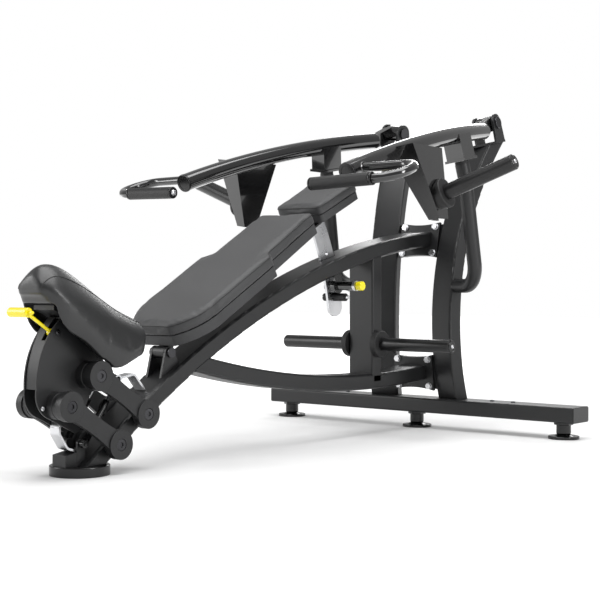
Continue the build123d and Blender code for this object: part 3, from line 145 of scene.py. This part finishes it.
# %% A finish is a principled shader, a slow drift and a fine bump
def finish(name, dark, light, rough, metallic=0.0):
    """Material whose colour and roughness drift between two values over the surface."""
    material = bpy.data.materials.new(name)
    material.use_nodes = True
    tree = material.node_tree
    shader = tree.nodes["Principled BSDF"]
    shader.inputs["Metallic"].default_value = metallic
    place = tree.nodes.new("ShaderNodeTexCoord")
    drift = tree.nodes.new("ShaderNodeTexNoise")
    drift.inputs["Scale"].default_value = 9.0
    drift.inputs["Detail"].default_value = 5.0
    tree.links.new(place.outputs["Object"], drift.inputs["Vector"])
    colours = tree.nodes.new("ShaderNodeValToRGB")
    colours.color_ramp.elements[0].position = 0.3
    colours.color_ramp.elements[0].color = (*dark, 1.0)
    colours.color_ramp.elements[1].position = 0.7
    colours.color_ramp.elements[1].color = (*light, 1.0)
    tree.links.new(drift.outputs["Fac"], colours.inputs["Fac"])
    tree.links.new(colours.outputs["Color"], shader.inputs["Base Color"])
    roughness = tree.nodes.new("ShaderNodeMapRange")
    roughness.inputs["To Min"].default_value = rough[0]
    roughness.inputs["To Max"].default_value = rough[1]
    tree.links.new(drift.outputs["Fac"], roughness.inputs["Value"])
    tree.links.new(roughness.outputs["Result"], shader.inputs["Roughness"])
    return material


def add_bump(material, pattern, scale, depth, strength=1.0, edge=0.0, stretch=(1, 1, 1)):
    """Fine relief: 'noise' for paint and rubber, 'cells' for leather and moulded grain."""
    tree = material.node_tree
    place = tree.nodes.new("ShaderNodeTexCoord")
    stretched = tree.nodes.new("ShaderNodeMapping")
    stretched.inputs["Scale"].default_value = stretch
    tree.links.new(place.outputs["Object"], stretched.inputs["Vector"])
    if pattern == "cells":
        texture = tree.nodes.new("ShaderNodeTexVoronoi")
        texture.feature = "DISTANCE_TO_EDGE"
        height = texture.outputs["Distance"]
    else:
        texture = tree.nodes.new("ShaderNodeTexNoise")
        texture.inputs["Detail"].default_value = 3.0
        height = texture.outputs["Fac"]
    texture.inputs["Scale"].default_value = scale
    tree.links.new(stretched.outputs["Vector"], texture.inputs["Vector"])
    bump = tree.nodes.new("ShaderNodeBump")
    bump.inputs["Distance"].default_value = depth
    bump.inputs["Strength"].default_value = strength
    tree.links.new(height, bump.inputs["Height"])
    shader = tree.nodes["Principled BSDF"]
    finished_so_far = shader.inputs["Normal"].links
    if finished_so_far:
        tree.links.new(finished_so_far[0].from_socket, bump.inputs["Normal"])
    elif edge > 0:
        rounded = tree.nodes.new("ShaderNodeBevel")
        rounded.samples = 4
        rounded.inputs["Radius"].default_value = edge
        tree.links.new(rounded.outputs["Normal"], bump.inputs["Normal"])
    tree.links.new(bump.outputs["Normal"], shader.inputs["Normal"])
    return material


def coat(material, weight, roughness):
    shader = material.node_tree.nodes["Principled BSDF"]
    shader.inputs["Coat Weight"].default_value = weight
    shader.inputs["Coat Roughness"].default_value = roughness
    return material


print("helpers: finish, add_bump, coat")

# %% [markdown]
# ### Paint
# The frame has a dark powder coat: satin, with the fine orange-peel of melted powder. Steel edges
# are never perfectly sharp, so a Bevel node rounds them in the shading and they catch the light.
# The press arms have a wet gloss instead: a very dark base under a clear coat.

# %% Frame paint and arm gloss
frame_paint = finish("frame_powder_coat", (0.0075, 0.0078, 0.0084), (0.0105, 0.0108, 0.0114), (0.34, 0.45))
add_bump(frame_paint, "noise", 900.0, 0.00012, 0.55, edge=0.0014)

link_paint = finish("link_powder_coat", (0.009, 0.0093, 0.0099), (0.013, 0.0133, 0.014), (0.38, 0.50))
add_bump(link_paint, "noise", 700.0, 0.00016, 0.7, edge=0.0016)

arm_gloss = finish("arm_gloss_black", (0.0018, 0.0018, 0.0020), (0.0030, 0.0030, 0.0033), (0.10, 0.18))
add_bump(arm_gloss, "noise", 160.0, 0.00006, 0.25, edge=0.0012)
coat(arm_gloss, 1.0, 0.04)

horn_paint = finish("horn_black", (0.0040, 0.0040, 0.0043), (0.0065, 0.0065, 0.0070), (0.26, 0.38))
add_bump(horn_paint, "noise", 420.0, 0.0001, 0.5, edge=0.0012, stretch=(0.15, 1, 1))
print("paints:", [m.name for m in (frame_paint, link_paint, arm_gloss, horn_paint)])

# %% [markdown]
# ### Metal, plastic and rubber
# Zinc plate is bright but cloudy, with fine drawing marks along the strap. Plastic and rubber
# differ mostly in how they scatter light: the caps are glossy, the pad shells have a moulded
# grain, and rubber is dull with a soft bloom.

# %% Zinc, plastics and rubbers
zinc = finish("bright_zinc", (0.55, 0.56, 0.58), (0.78, 0.78, 0.79), (0.20, 0.36), metallic=1.0)
add_bump(zinc, "noise", 260.0, 0.00008, 0.4, edge=0.0006, stretch=(6, 1, 1))

steel_dark = finish("oiled_steel", (0.045, 0.045, 0.048), (0.09, 0.09, 0.095), (0.25, 0.42), metallic=1.0)
add_bump(steel_dark, "noise", 500.0, 0.00006, 0.4, edge=0.0008)

cap_plastic = finish("gloss_black_plastic", (0.0030, 0.0030, 0.0033), (0.0050, 0.0050, 0.0054), (0.16, 0.28))
add_bump(cap_plastic, "noise", 240.0, 0.00006, 0.3, edge=0.0012)

shell_plastic = finish("pad_shell_plastic", (0.030, 0.0305, 0.032), (0.040, 0.0405, 0.042), (0.46, 0.60))
add_bump(shell_plastic, "cells", 850.0, 0.00014, 0.6, edge=0.004)

rubber = finish("dull_rubber", (0.0060, 0.0060, 0.0064), (0.0105, 0.0105, 0.011), (0.50, 0.68))
add_bump(rubber, "noise", 520.0, 0.00012, 0.6, edge=0.0016)

grip_rubber = finish("grip_rubber", (0.0042, 0.0042, 0.0045), (0.0070, 0.0070, 0.0074), (0.42, 0.58))
add_bump(grip_rubber, "cells", 620.0, 0.00022, 0.7, edge=0.0016)

yellow = finish("signal_yellow", (0.88, 0.72, 0.0), (0.94, 0.80, 0.004), (0.26, 0.38))
add_bump(yellow, "noise", 300.0, 0.00008, 0.35, edge=0.0012)
coat(yellow, 0.4, 0.15)
print("hard finishes ready")

# %% [markdown]
# ### Synthetic leather
# Coated fabric has two scales of relief: pebbles of one to two millimetres divided by creases,
# and a much finer pore. Two chained bumps give both. The seat is a smoother, shinier sheet.

# %% Leather
pad_leather = finish("pad_leather", (0.027, 0.0275, 0.0285), (0.036, 0.0365, 0.038), (0.46, 0.58))
add_bump(pad_leather, "cells", 620.0, 0.00030, 0.45)
add_bump(pad_leather, "noise", 2200.0, 0.00008, 0.5)
pad_leather.node_tree.nodes["Principled BSDF"].inputs["Sheen Weight"].default_value = 0.12

seat_leather = finish("seat_leather", (0.0065, 0.0068, 0.0072), (0.0095, 0.0098, 0.0104), (0.30, 0.42))
add_bump(seat_leather, "cells", 560.0, 0.00026, 0.4)
add_bump(seat_leather, "noise", 2000.0, 0.00006, 0.4)
coat(seat_leather, 0.25, 0.28)

seam_leather = finish("seam_leather", (0.0040, 0.0040, 0.0044), (0.0065, 0.0065, 0.0070), (0.5, 0.62))
add_bump(seam_leather, "noise", 1400.0, 0.00016, 0.8)

studio_white = finish("studio_white", (0.86, 0.86, 0.86), (0.88, 0.88, 0.88), (0.75, 0.85))
add_bump(studio_white, "noise", 40.0, 0.0002, 0.1)
floor.data.materials.append(studio_white)

# Far from the machine the floor glows as white as the room, so no horizon shows.
tree = studio_white.node_tree
where = tree.nodes.new("ShaderNodeTexCoord")
distance = tree.nodes.new("ShaderNodeVectorMath")
distance.operation = "LENGTH"
glow = tree.nodes.new("ShaderNodeMapRange")
glow.interpolation_type = "SMOOTHSTEP"
glow.inputs["From Min"].default_value = 1.6
glow.inputs["From Max"].default_value = 4.0
tree.links.new(where.outputs["Object"], distance.inputs[0])
tree.links.new(distance.outputs["Value"], glow.inputs["Value"])
tree.links.new(glow.outputs["Result"], tree.nodes["Principled BSDF"].inputs["Emission Strength"])
tree.nodes["Principled BSDF"].inputs["Emission Color"].default_value = (1.0, 1.0, 1.0, 1.0)
print("soft finishes ready")

# %% [markdown]
# ## Steel that CAD already has right
# Most CAD nodes only need their finish. A list from finish to node names is easier to check than
# one line per node, and anything not listed is frame steel.

# %% Finishes on the CAD nodes
def both(*names):
    return [side + "_" + name for side in ("right", "left") for name in names]


finish_of = {}
for material, names in (
    (arm_gloss, both("press_arm", "handle", "horn_bracket") + ["pull_pin_housing"]),
    (horn_paint, both("weight_horn") + ["storage_horns"]),
    (grip_rubber, both("handle_grip")),
    (cap_plastic, both("arm_caps") + ["base_end_caps", "rear_feet", "front_foot", "gas_cylinders"]),
    (rubber, both("horn_rubber") + ["storage_collars", "stop_bumpers", "stop_rubbers"]),
    (zinc, ["flange_bolts", "pull_pin_ring", "pull_pin", "adjuster_plate", "seat_rack", "gas_rods"]),
    (steel_dark, ["pivot_pins", "backrest_hinge_pin", "lock_pin", "front_link_bolts", "rear_link_bolts"]),
    (shell_plastic, ["pad_covers"]),
    (link_paint, ["lower_links", "upper_links", "link_bosses", "case_side_plates", "case_front_cover"]),
    (yellow, ["pull_knob", "lever_grip", "seat_lever"]),
):
    for name in names:
        finish_of[name] = material

for name, obj in nodes.items():
    obj.data.materials.clear()
    obj.data.materials.append(finish_of.get(name, frame_paint))
print(len(nodes), "nodes finished,", len(nodes) - len(finish_of), "of them in frame paint")

# %% [markdown]
# ## Padding
# A pad is foam under a stretched skin: the middle swells a little and the edges stay round and
# tight. The CAD solid gives the exact size, so each pad starts as a copy of it, slightly smaller.
# Voxel remeshing makes an even skin, a few frames of cloth with inside pressure blow it up, and a
# cap on the movement keeps it in its place. The underside is pinned because it is stapled down.

# %% Helpers for soft shapes
def evaluated_mesh(obj):
    graph = bpy.context.evaluated_depsgraph_get()
    return bpy.data.meshes.new_from_object(obj.evaluated_get(graph))


def settle(obj):
    """Applies the modifiers of an object."""
    mesh = evaluated_mesh(obj)
    obj.modifiers.clear()
    obj.data = mesh
    return obj


def skin_of(node, name, voxel, shrink, smoothing):
    """Even skin a little inside a CAD solid, with rounded edges."""
    bm = bmesh.new()
    bm.from_mesh(nodes[node].data)
    bmesh.ops.remove_doubles(bm, verts=bm.verts, dist=0.00002)
    bmesh.ops.recalc_face_normals(bm, faces=bm.faces)
    skin = mesh_object(name, bm)
    remesh = skin.modifiers.new("even_skin", "REMESH")
    remesh.mode = "VOXEL"
    remesh.voxel_size = voxel
    settle(skin)
    shrinking = skin.modifiers.new("inset", "DISPLACE")
    shrinking.mid_level = 0.0
    shrinking.strength = -shrink
    rounding = skin.modifiers.new("round", "SMOOTH")
    rounding.factor = 0.5
    rounding.iterations = smoothing
    return settle(skin)


def pressurise(skin, up, pressure, cap):
    """Swells a skin with cloth pressure; faces that look away from 'up' are held."""
    start = [v.co.copy() for v in skin.data.vertices]
    held = [v.index for v in skin.data.vertices if v.normal.dot(up) < -0.5]
    group = skin.vertex_groups.new(name="stapled")
    group.add(held, 1.0, "REPLACE")
    cloth = skin.modifiers.new("foam", "CLOTH")
    cloth.settings.quality = 5
    cloth.settings.mass = 0.2
    cloth.settings.tension_stiffness = 25.0
    cloth.settings.compression_stiffness = 25.0
    cloth.settings.bending_stiffness = 3.0
    cloth.settings.air_damping = 4.0
    cloth.settings.vertex_group_mass = "stapled"
    cloth.settings.use_pressure = True
    cloth.settings.uniform_pressure_force = pressure
    cloth.settings.effector_weights.gravity = 0.0
    cloth.point_cache.frame_start = 1
    cloth.point_cache.frame_end = 20
    for step in range(1, 21):
        bpy.context.scene.frame_set(step)
    settle(skin)
    furthest = 0.0
    for vertex, place in zip(skin.data.vertices, start):
        move = vertex.co - place
        if move.length > cap:
            move = move.normalized() * cap
        vertex.co = place + move
        furthest = max(furthest, move.length)
    bpy.context.scene.frame_set(1)
    return furthest


def soft_pad(node, name, up, voxel, shrink, smoothing, pressure, cap, leather):
    """A finished pad in place of a CAD solid."""
    skin = skin_of(node, name, voxel, shrink, smoothing)
    swollen = pressurise(skin, up, pressure, cap)
    skin.vertex_groups.clear()
    rounding = skin.modifiers.new("even_out", "SMOOTH")
    rounding.factor = 0.5
    rounding.iterations = 3
    settle(skin)
    skin.data.materials.clear()
    skin.data.materials.append(leather)
    for face in skin.data.polygons:
        face.use_smooth = True
    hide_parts(node)
    print(name, len(skin.data.vertices), "points, swelled", round(swollen * 1000, 1), "mm")
    return skin


print("soft helpers ready")

# %% [markdown]
# ### Back pad, head pad and seat
# The board lies at thirty degrees, so 'up' for its pads is square to it. The seat is a saddle that
# swells more, because its foam is thicker and its skin is stretched over a curve.

# %% The three pads
board_tilt = math.radians(30.0)
board_up = Vector((0.0, -math.sin(board_tilt), math.cos(board_tilt)))
head_tilt = math.radians(26.2)
head_up = Vector((0.0, -math.sin(head_tilt), math.cos(head_tilt)))
seat_up = Vector((0.0, 0.45, 0.89))

back = soft_pad("back_pad", "back_cushion", board_up, 0.005, 0.0012, 5, 3.5, 0.004, pad_leather)
head = soft_pad("head_pad", "head_cushion", head_up, 0.004, 0.0012, 5, 3.5, 0.004, pad_leather)
seat = soft_pad("seat_pad", "saddle", seat_up, 0.005, 0.0010, 14, 3.0, 0.006, seat_leather)
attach(back, "backrest")
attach(head, "backrest")
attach(seat, "seat_carriage")

# %% [markdown]
# ### Seams
# Where two panels are sewn together the skin is pulled in and a thin welt stands in the groove.
# Cutting the finished pad with a plane gives a line that lies exactly on its surface, whatever
# shape the cloth took, and a thin tube along that line is the welt.

# %% A welt where a plane cuts a pad
def cut_loops(pad, point, normal):
    """Closed lines where a plane cuts a mesh, each a list of points."""
    bm = bmesh.new()
    bm.from_mesh(pad.data)
    geometry = bm.verts[:] + bm.edges[:] + bm.faces[:]
    bmesh.ops.bisect_plane(bm, geom=geometry, plane_co=point, plane_no=normal,
                           clear_inner=True, clear_outer=True)
    bmesh.ops.remove_doubles(bm, verts=bm.verts, dist=0.0002)
    loops, seen = [], set()
    for first in bm.verts:
        if first in seen:
            continue
        line, here = [], first
        while here is not None:
            seen.add(here)
            line.append(here.co.copy())
            here = next((e.other_vert(here) for e in here.link_edges if e.other_vert(here) not in seen), None)
        loops.append(line)
    bm.free()
    return [line for line in loops if len(line) > 20]


def evened(line, spacing, closed):
    """Points at an even spacing along a line."""
    if closed:
        line = line + [line[0]]
    total = sum((b - a).length for a, b in zip(line, line[1:]))
    count = max(8, int(total / spacing))
    step, out, run, target = total / count, [], 0.0, 0.0
    for a, b in zip(line, line[1:]):
        part = (b - a).length
        while part > 0 and target <= run + part and len(out) < count + (0 if closed else 1):
            out.append(a.lerp(b, (target - run) / part))
            target += step
        run += part
    return out


def tube_mesh(name, line, radius, closed, sides=8):
    """A tube along a line, built ring by ring."""
    bm = bmesh.new()
    rings = []
    count = len(line)
    side_way = None
    for index, point in enumerate(line):
        before = line[index - 1] if (closed or index > 0) else point
        after = line[(index + 1) % count] if (closed or index < count - 1) else point
        along = (after - before).normalized()
        if side_way is None:
            side_way = along.orthogonal().normalized()
        side_way = (side_way - along * side_way.dot(along)).normalized()
        other = along.cross(side_way)
        ring = []
        for k in range(sides):
            turn = 2 * math.pi * k / sides
            ring.append(bm.verts.new(point + (side_way * math.cos(turn) + other * math.sin(turn)) * radius))
        rings.append(ring)
    spans = count if closed else count - 1
    for index in range(spans):
        a, b = rings[index], rings[(index + 1) % count]
        offset = 0
        if closed and index == spans - 1:
            offset = min(range(sides), key=lambda s: (b[s].co - a[0].co).length)
        for k in range(sides):
            bm.faces.new((a[k], a[(k + 1) % sides], b[(k + 1 + offset) % sides], b[(k + offset) % sides]))
    if not closed:
        bm.faces.new(rings[0][::-1])
        bm.faces.new(rings[-1])
    bmesh.ops.recalc_face_normals(bm, faces=bm.faces)
    return mesh_object(name, bm)


def welt(pad, name, point, normal, body):
    """A closed welt on every line where a plane cuts a pad."""
    lines = cut_loops(pad, point, normal)
    for number, line in enumerate(lines):
        tube = tube_mesh(f"{name}_{number}", evened(line, welt_step, True), welt_radius, True)
        tube.data.materials.append(seam_leather)
        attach(tube, body)
    print(name, len(lines), "line(s)")


welt_radius = 0.0013
welt_step = 0.004
top_seam_depth = 0.0075
foot_of_board = Vector((0.0, -1.272, 0.382))
head_top_edge = Vector((0.0, -0.653, 0.733))
welt(back, "back_seam", foot_of_board - board_up * top_seam_depth, board_up, "backrest")
welt(head, "head_seam", head_top_edge - head_up * top_seam_depth, head_up, "backrest")

# %% [markdown]
# ### Saddle seams
# The saddle has a centre panel between two side panels. The seams run from the nose over the
# crown to the back, so here the cutting planes stand upright, one on each side.

# %% Saddle seams
saddle_seam_x = 0.046
nose_z = 0.475               # a straight line from nose to back parts the crown from the underside
back_z = 0.340


def crown_part(line):
    """The stretch of a closed line that runs over the crown of the saddle."""
    low_y = min(p.y for p in line)
    high_y = max(p.y for p in line)

    def on_crown(p):
        share = (p.y - low_y) / (high_y - low_y)
        return p.z > nose_z * (1 - share) + back_z * share

    starts = [i for i in range(len(line)) if on_crown(line[i]) and not on_crown(line[i - 1])]
    if not starts:
        return []
    ordered = line[starts[0]:] + line[:starts[0]]
    return [p for p in ordered if on_crown(p)]


for side, side_name in ((1.0, "right"), (-1.0, "left")):
    loops = cut_loops(seat, Vector((side * saddle_seam_x, 0, 0)), Vector((1, 0, 0)))
    for number, line in enumerate(loops):
        upper = crown_part(line)
        if upper:
            route = evened(upper, welt_step, False)
            seam = tube_mesh(f"saddle_seam_{side_name}{number}", route, welt_radius, False)
            seam.data.materials.append(seam_leather)
            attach(seam, "seat_carriage")
            print("saddle seam", side_name, len(upper), "points")

# %% [markdown]
# ## Small turned and hexagonal pieces
# Plugs, bosses and screws are round about an axis, so one function turns a profile, a list of
# radius and height, about any line, as a lathe would. With six sides it makes a hexagon.

# %% A lathe
def turned(name, profile, place, axis, body, material, sides=48):
    """Turns a profile of (radius, height) about an axis that starts at a place."""
    bm = bmesh.new()
    rings = []
    for radius, height in profile:
        if radius < 1e-6:
            rings.append([bm.verts.new((0, 0, height))])
            continue
        ring = []
        for k in range(sides):
            turn = 2 * math.pi * (k + 0.5) / sides
            ring.append(bm.verts.new((radius * math.cos(turn), radius * math.sin(turn), height)))
        rings.append(ring)
    for a, b in zip(rings, rings[1:]):
        for k in range(sides):
            quad = [a[k % len(a)], a[(k + 1) % len(a)], b[(k + 1) % len(b)], b[k % len(b)]]
            corners = list(dict.fromkeys(quad))
            if len(corners) > 2:
                bm.faces.new(corners)
    bmesh.ops.recalc_face_normals(bm, faces=bm.faces)
    turn = Vector(axis).to_track_quat("Z", "Y").to_matrix().to_4x4()
    bmesh.ops.transform(bm, matrix=Matrix.Translation(Vector(place)) @ turn, verts=bm.verts)
    piece = mesh_object(name, bm, smooth=False)
    for face in piece.data.polygons:
        face.use_smooth = sides > 12
    if sides > 12:
        piece.data.set_sharp_from_angle(angle=math.radians(35))
    piece.data.materials.append(material)
    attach(piece, body)
    return piece


def dome_screw(name, place, axis, r, body, material=zinc):
    """Button-head screw of radius r with a round socket."""
    profile = [(0, -0.001), (r, -0.001), (r, 0.25 * r), (0.86 * r, 0.48 * r), (0.62 * r, 0.60 * r),
               (0.42 * r, 0.62 * r), (0.40 * r, 0.25 * r), (0, 0.22 * r)]
    return turned(name, profile, place, axis, body, material, 24)


print("lathe ready")

# %% [markdown]
# ### Horn ends
# Weight horns are tubes closed by a plug, so a plate slides over them without catching. The plug
# has a chamfered rim and a screw in the middle.

# %% Plugs on the four horns
plug_lift = 0.003            # the horn's rounded rim beyond its straight wall
for name, body in (("right_weight_horn", "right_arm"), ("left_weight_horn", "left_arm"),
                   ("right_storage_horn", "frame"), ("left_storage_horn", "frame")):
    mount = mounts[name]
    axis = Vector(mount["axis"])
    reach = mount["dims"]["length_mm"] / 2000 + plug_lift
    tip = Vector(mount["pos_m"]) + axis * reach
    r = mount["dims"]["r_mm"] / 1000 - 0.0025
    plug = [(0, -0.001), (r, -0.001), (r, 0.0012), (r - 0.0022, 0.0030), (r - 0.006, 0.0030),
            (r - 0.0075, 0.0016), (0, 0.0016)]
    turned(name + "_plug", plug, tip, axis, body, cap_plastic)
    dome_screw(name + "_screw", tip + axis * 0.0016, axis, 0.0065, body)
    print(name, "plug at", tuple(round(v, 3) for v in tip))

# %% [markdown]
# ### Link pivots
# Each link turns on a wide spacer that holds it away from the carriage. A sleeve round the CAD
# spacer gives its full width, with the shallow groove where the bearing seal sits.

# %% Sleeves at the front link pivots
lower_rear = Vector(joints["seat_swing"]["pos_m"])
lower_front = Vector(joints["seat_level"]["pos_m"])
upper_rear = Vector(joints["upper_link_swing"]["pos_m"])
upper_front = upper_rear + (lower_front - lower_rear)
case_side = 0.026
link_side = 0.067
sleeve_r = 0.036
for place, label in ((lower_front, "lower"), (upper_front, "upper")):
    for side in (1.0, -1.0):
        width = link_side - case_side - 0.0006
        groove = width * 0.55
        profile = [(0.0225, 0), (sleeve_r, 0), (sleeve_r, groove), (sleeve_r - 0.0015, groove + 0.001),
                   (sleeve_r - 0.0015, groove + 0.004), (sleeve_r, groove + 0.005),
                   (sleeve_r, width - 0.001), (sleeve_r - 0.001, width), (0.0225, width)]
        start = Vector((side * case_side, place.y, place.z))
        name = f"{label}_sleeve_{'right' if side > 0 else 'left'}"
        turned(name, profile, start, (side, 0, 0), "seat_carriage", link_paint)
print("sleeves 72 mm across at", tuple(round(v, 3) for v in lower_front))

# %% [markdown]
# ### Screws
# Screws hold the carriage covers, the rear beam and the arm plugs. They are small, but a machine
# without them looks like a toy, so each is placed where something is really held.

# %% Screws on the carriage, beam and arms
case_screw_places = (
    (-1.617, 0.373, 0.0075, steel_dark),
    (-1.665, 0.182, 0.006, zinc),
    (-1.486, 0.316, 0.005, zinc),
)
case_screws = [
    dome_screw(f"case_screw_{number}_{side_name}", (side * case_side, y, z), (side, 0, 0), r,
               "seat_carriage", material)
    for number, (y, z, r, material) in enumerate(case_screw_places)
    for side, side_name in ((1.0, "right"), (-1.0, "left"))
]
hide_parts("carriage_screws")
beam_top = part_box("base_beam")[1][2]
for side in (1.0, -1.0):
    for number, x in enumerate((0.305, 0.385)):
        name = f"beam_screw_{number}_{'right' if side > 0 else 'left'}"
        dome_screw(name, (side * x, 0.0, beam_top), (0, 0, 1), 0.008, "frame", steel_dark)
print("case and beam screws placed")

# %% Places along an arm
def arm_frame(joint_name):
    """Turns a point of the arm's own frame into the machine's frame."""
    joint = joints[joint_name]
    pivot = Vector(joint["pos_m"])
    outward = Vector([abs(v) for v in joint["axis"]])
    toe = math.atan2(outward.y, outward.x)
    forward = Vector((math.sin(toe), -math.cos(toe), 0.0))
    up = forward.cross(outward)
    rear = up.cross(outward)
    mirror = -1.0 if pivot.x < 0 else 1.0

    def place(x, y, z):
        point = Vector((abs(pivot.x), pivot.y, pivot.z)) + outward * x + rear * y + up * z
        return Vector((mirror * point.x, point.y, point.z))

    return place


for side, joint_name in (("right", "right_arm_press"), ("left", "left_arm_press")):
    place = arm_frame(joint_name)
    body = side + "_arm"
    tip = place(0.0, -0.959, -0.233)
    along = (tip - place(0.006, -0.90, -0.2155)).normalized()
    ring = [(0.0272, 0.0), (0.0286, 0.0), (0.0286, 0.0022), (0.0272, 0.0022)]
    turned(side + "_arm_ring", ring + ring[:1], tip - along * 0.0022, along, body, steel_dark)
    grip_tip = place(-0.062, -1.054, -0.262)
    grip_in = place(0.212, -1.066, -0.293)
    out = (grip_tip - grip_in).normalized()
    dome_screw(side + "_grip_screw", grip_tip + out * 0.006, out, 0.009, body)
    collar = [(0.0137, 0), (0.0178, 0), (0.0185, 0.001), (0.0185, 0.007), (0.0178, 0.008), (0.0137, 0.008)]
    turned(side + "_grip_collar", collar + collar[:1], grip_tip - out * 0.2045, out, body, cap_plastic)
    root = place(0.030, -0.9165, -0.2222)
    way = (place(0.229, -0.931, -0.250) - place(0.0, -0.913, -0.218)).normalized()
    weld = [(0.0136, 0), (0.0175, 0.0006), (0.0168, 0.003), (0.0136, 0.0045)]
    turned(side + "_handle_weld", weld, root, way, body, arm_gloss)
print("arm rings, grip screws, collars and welds placed")

# %% [markdown]
# ### Feet
# A threaded foot is locked by a thin nut under the beam. The nut is a six-sided turning.

# %% Lock nuts on the rear feet
beam_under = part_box("base_beam")[0][2]
foot_low, foot_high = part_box("rear_feet")
foot_disc_r = 0.05
foot_reach = (foot_high[0] - foot_low[0]) / 2 - foot_disc_r
for number, x in enumerate((-foot_reach, 0.0, foot_reach)):
    nut = [(0.0, 0.0), (0.0290, 0.0), (0.0305, 0.0015), (0.0305, 0.0085), (0.0290, 0.0099), (0.0, 0.0099)]
    turned(f"lock_nut_{number}", nut, (x, 0.0, beam_under - 0.0100), (0, 0, 1), "frame", cap_plastic, 6)
print("lock nuts under the beam at z", round(beam_under, 3))
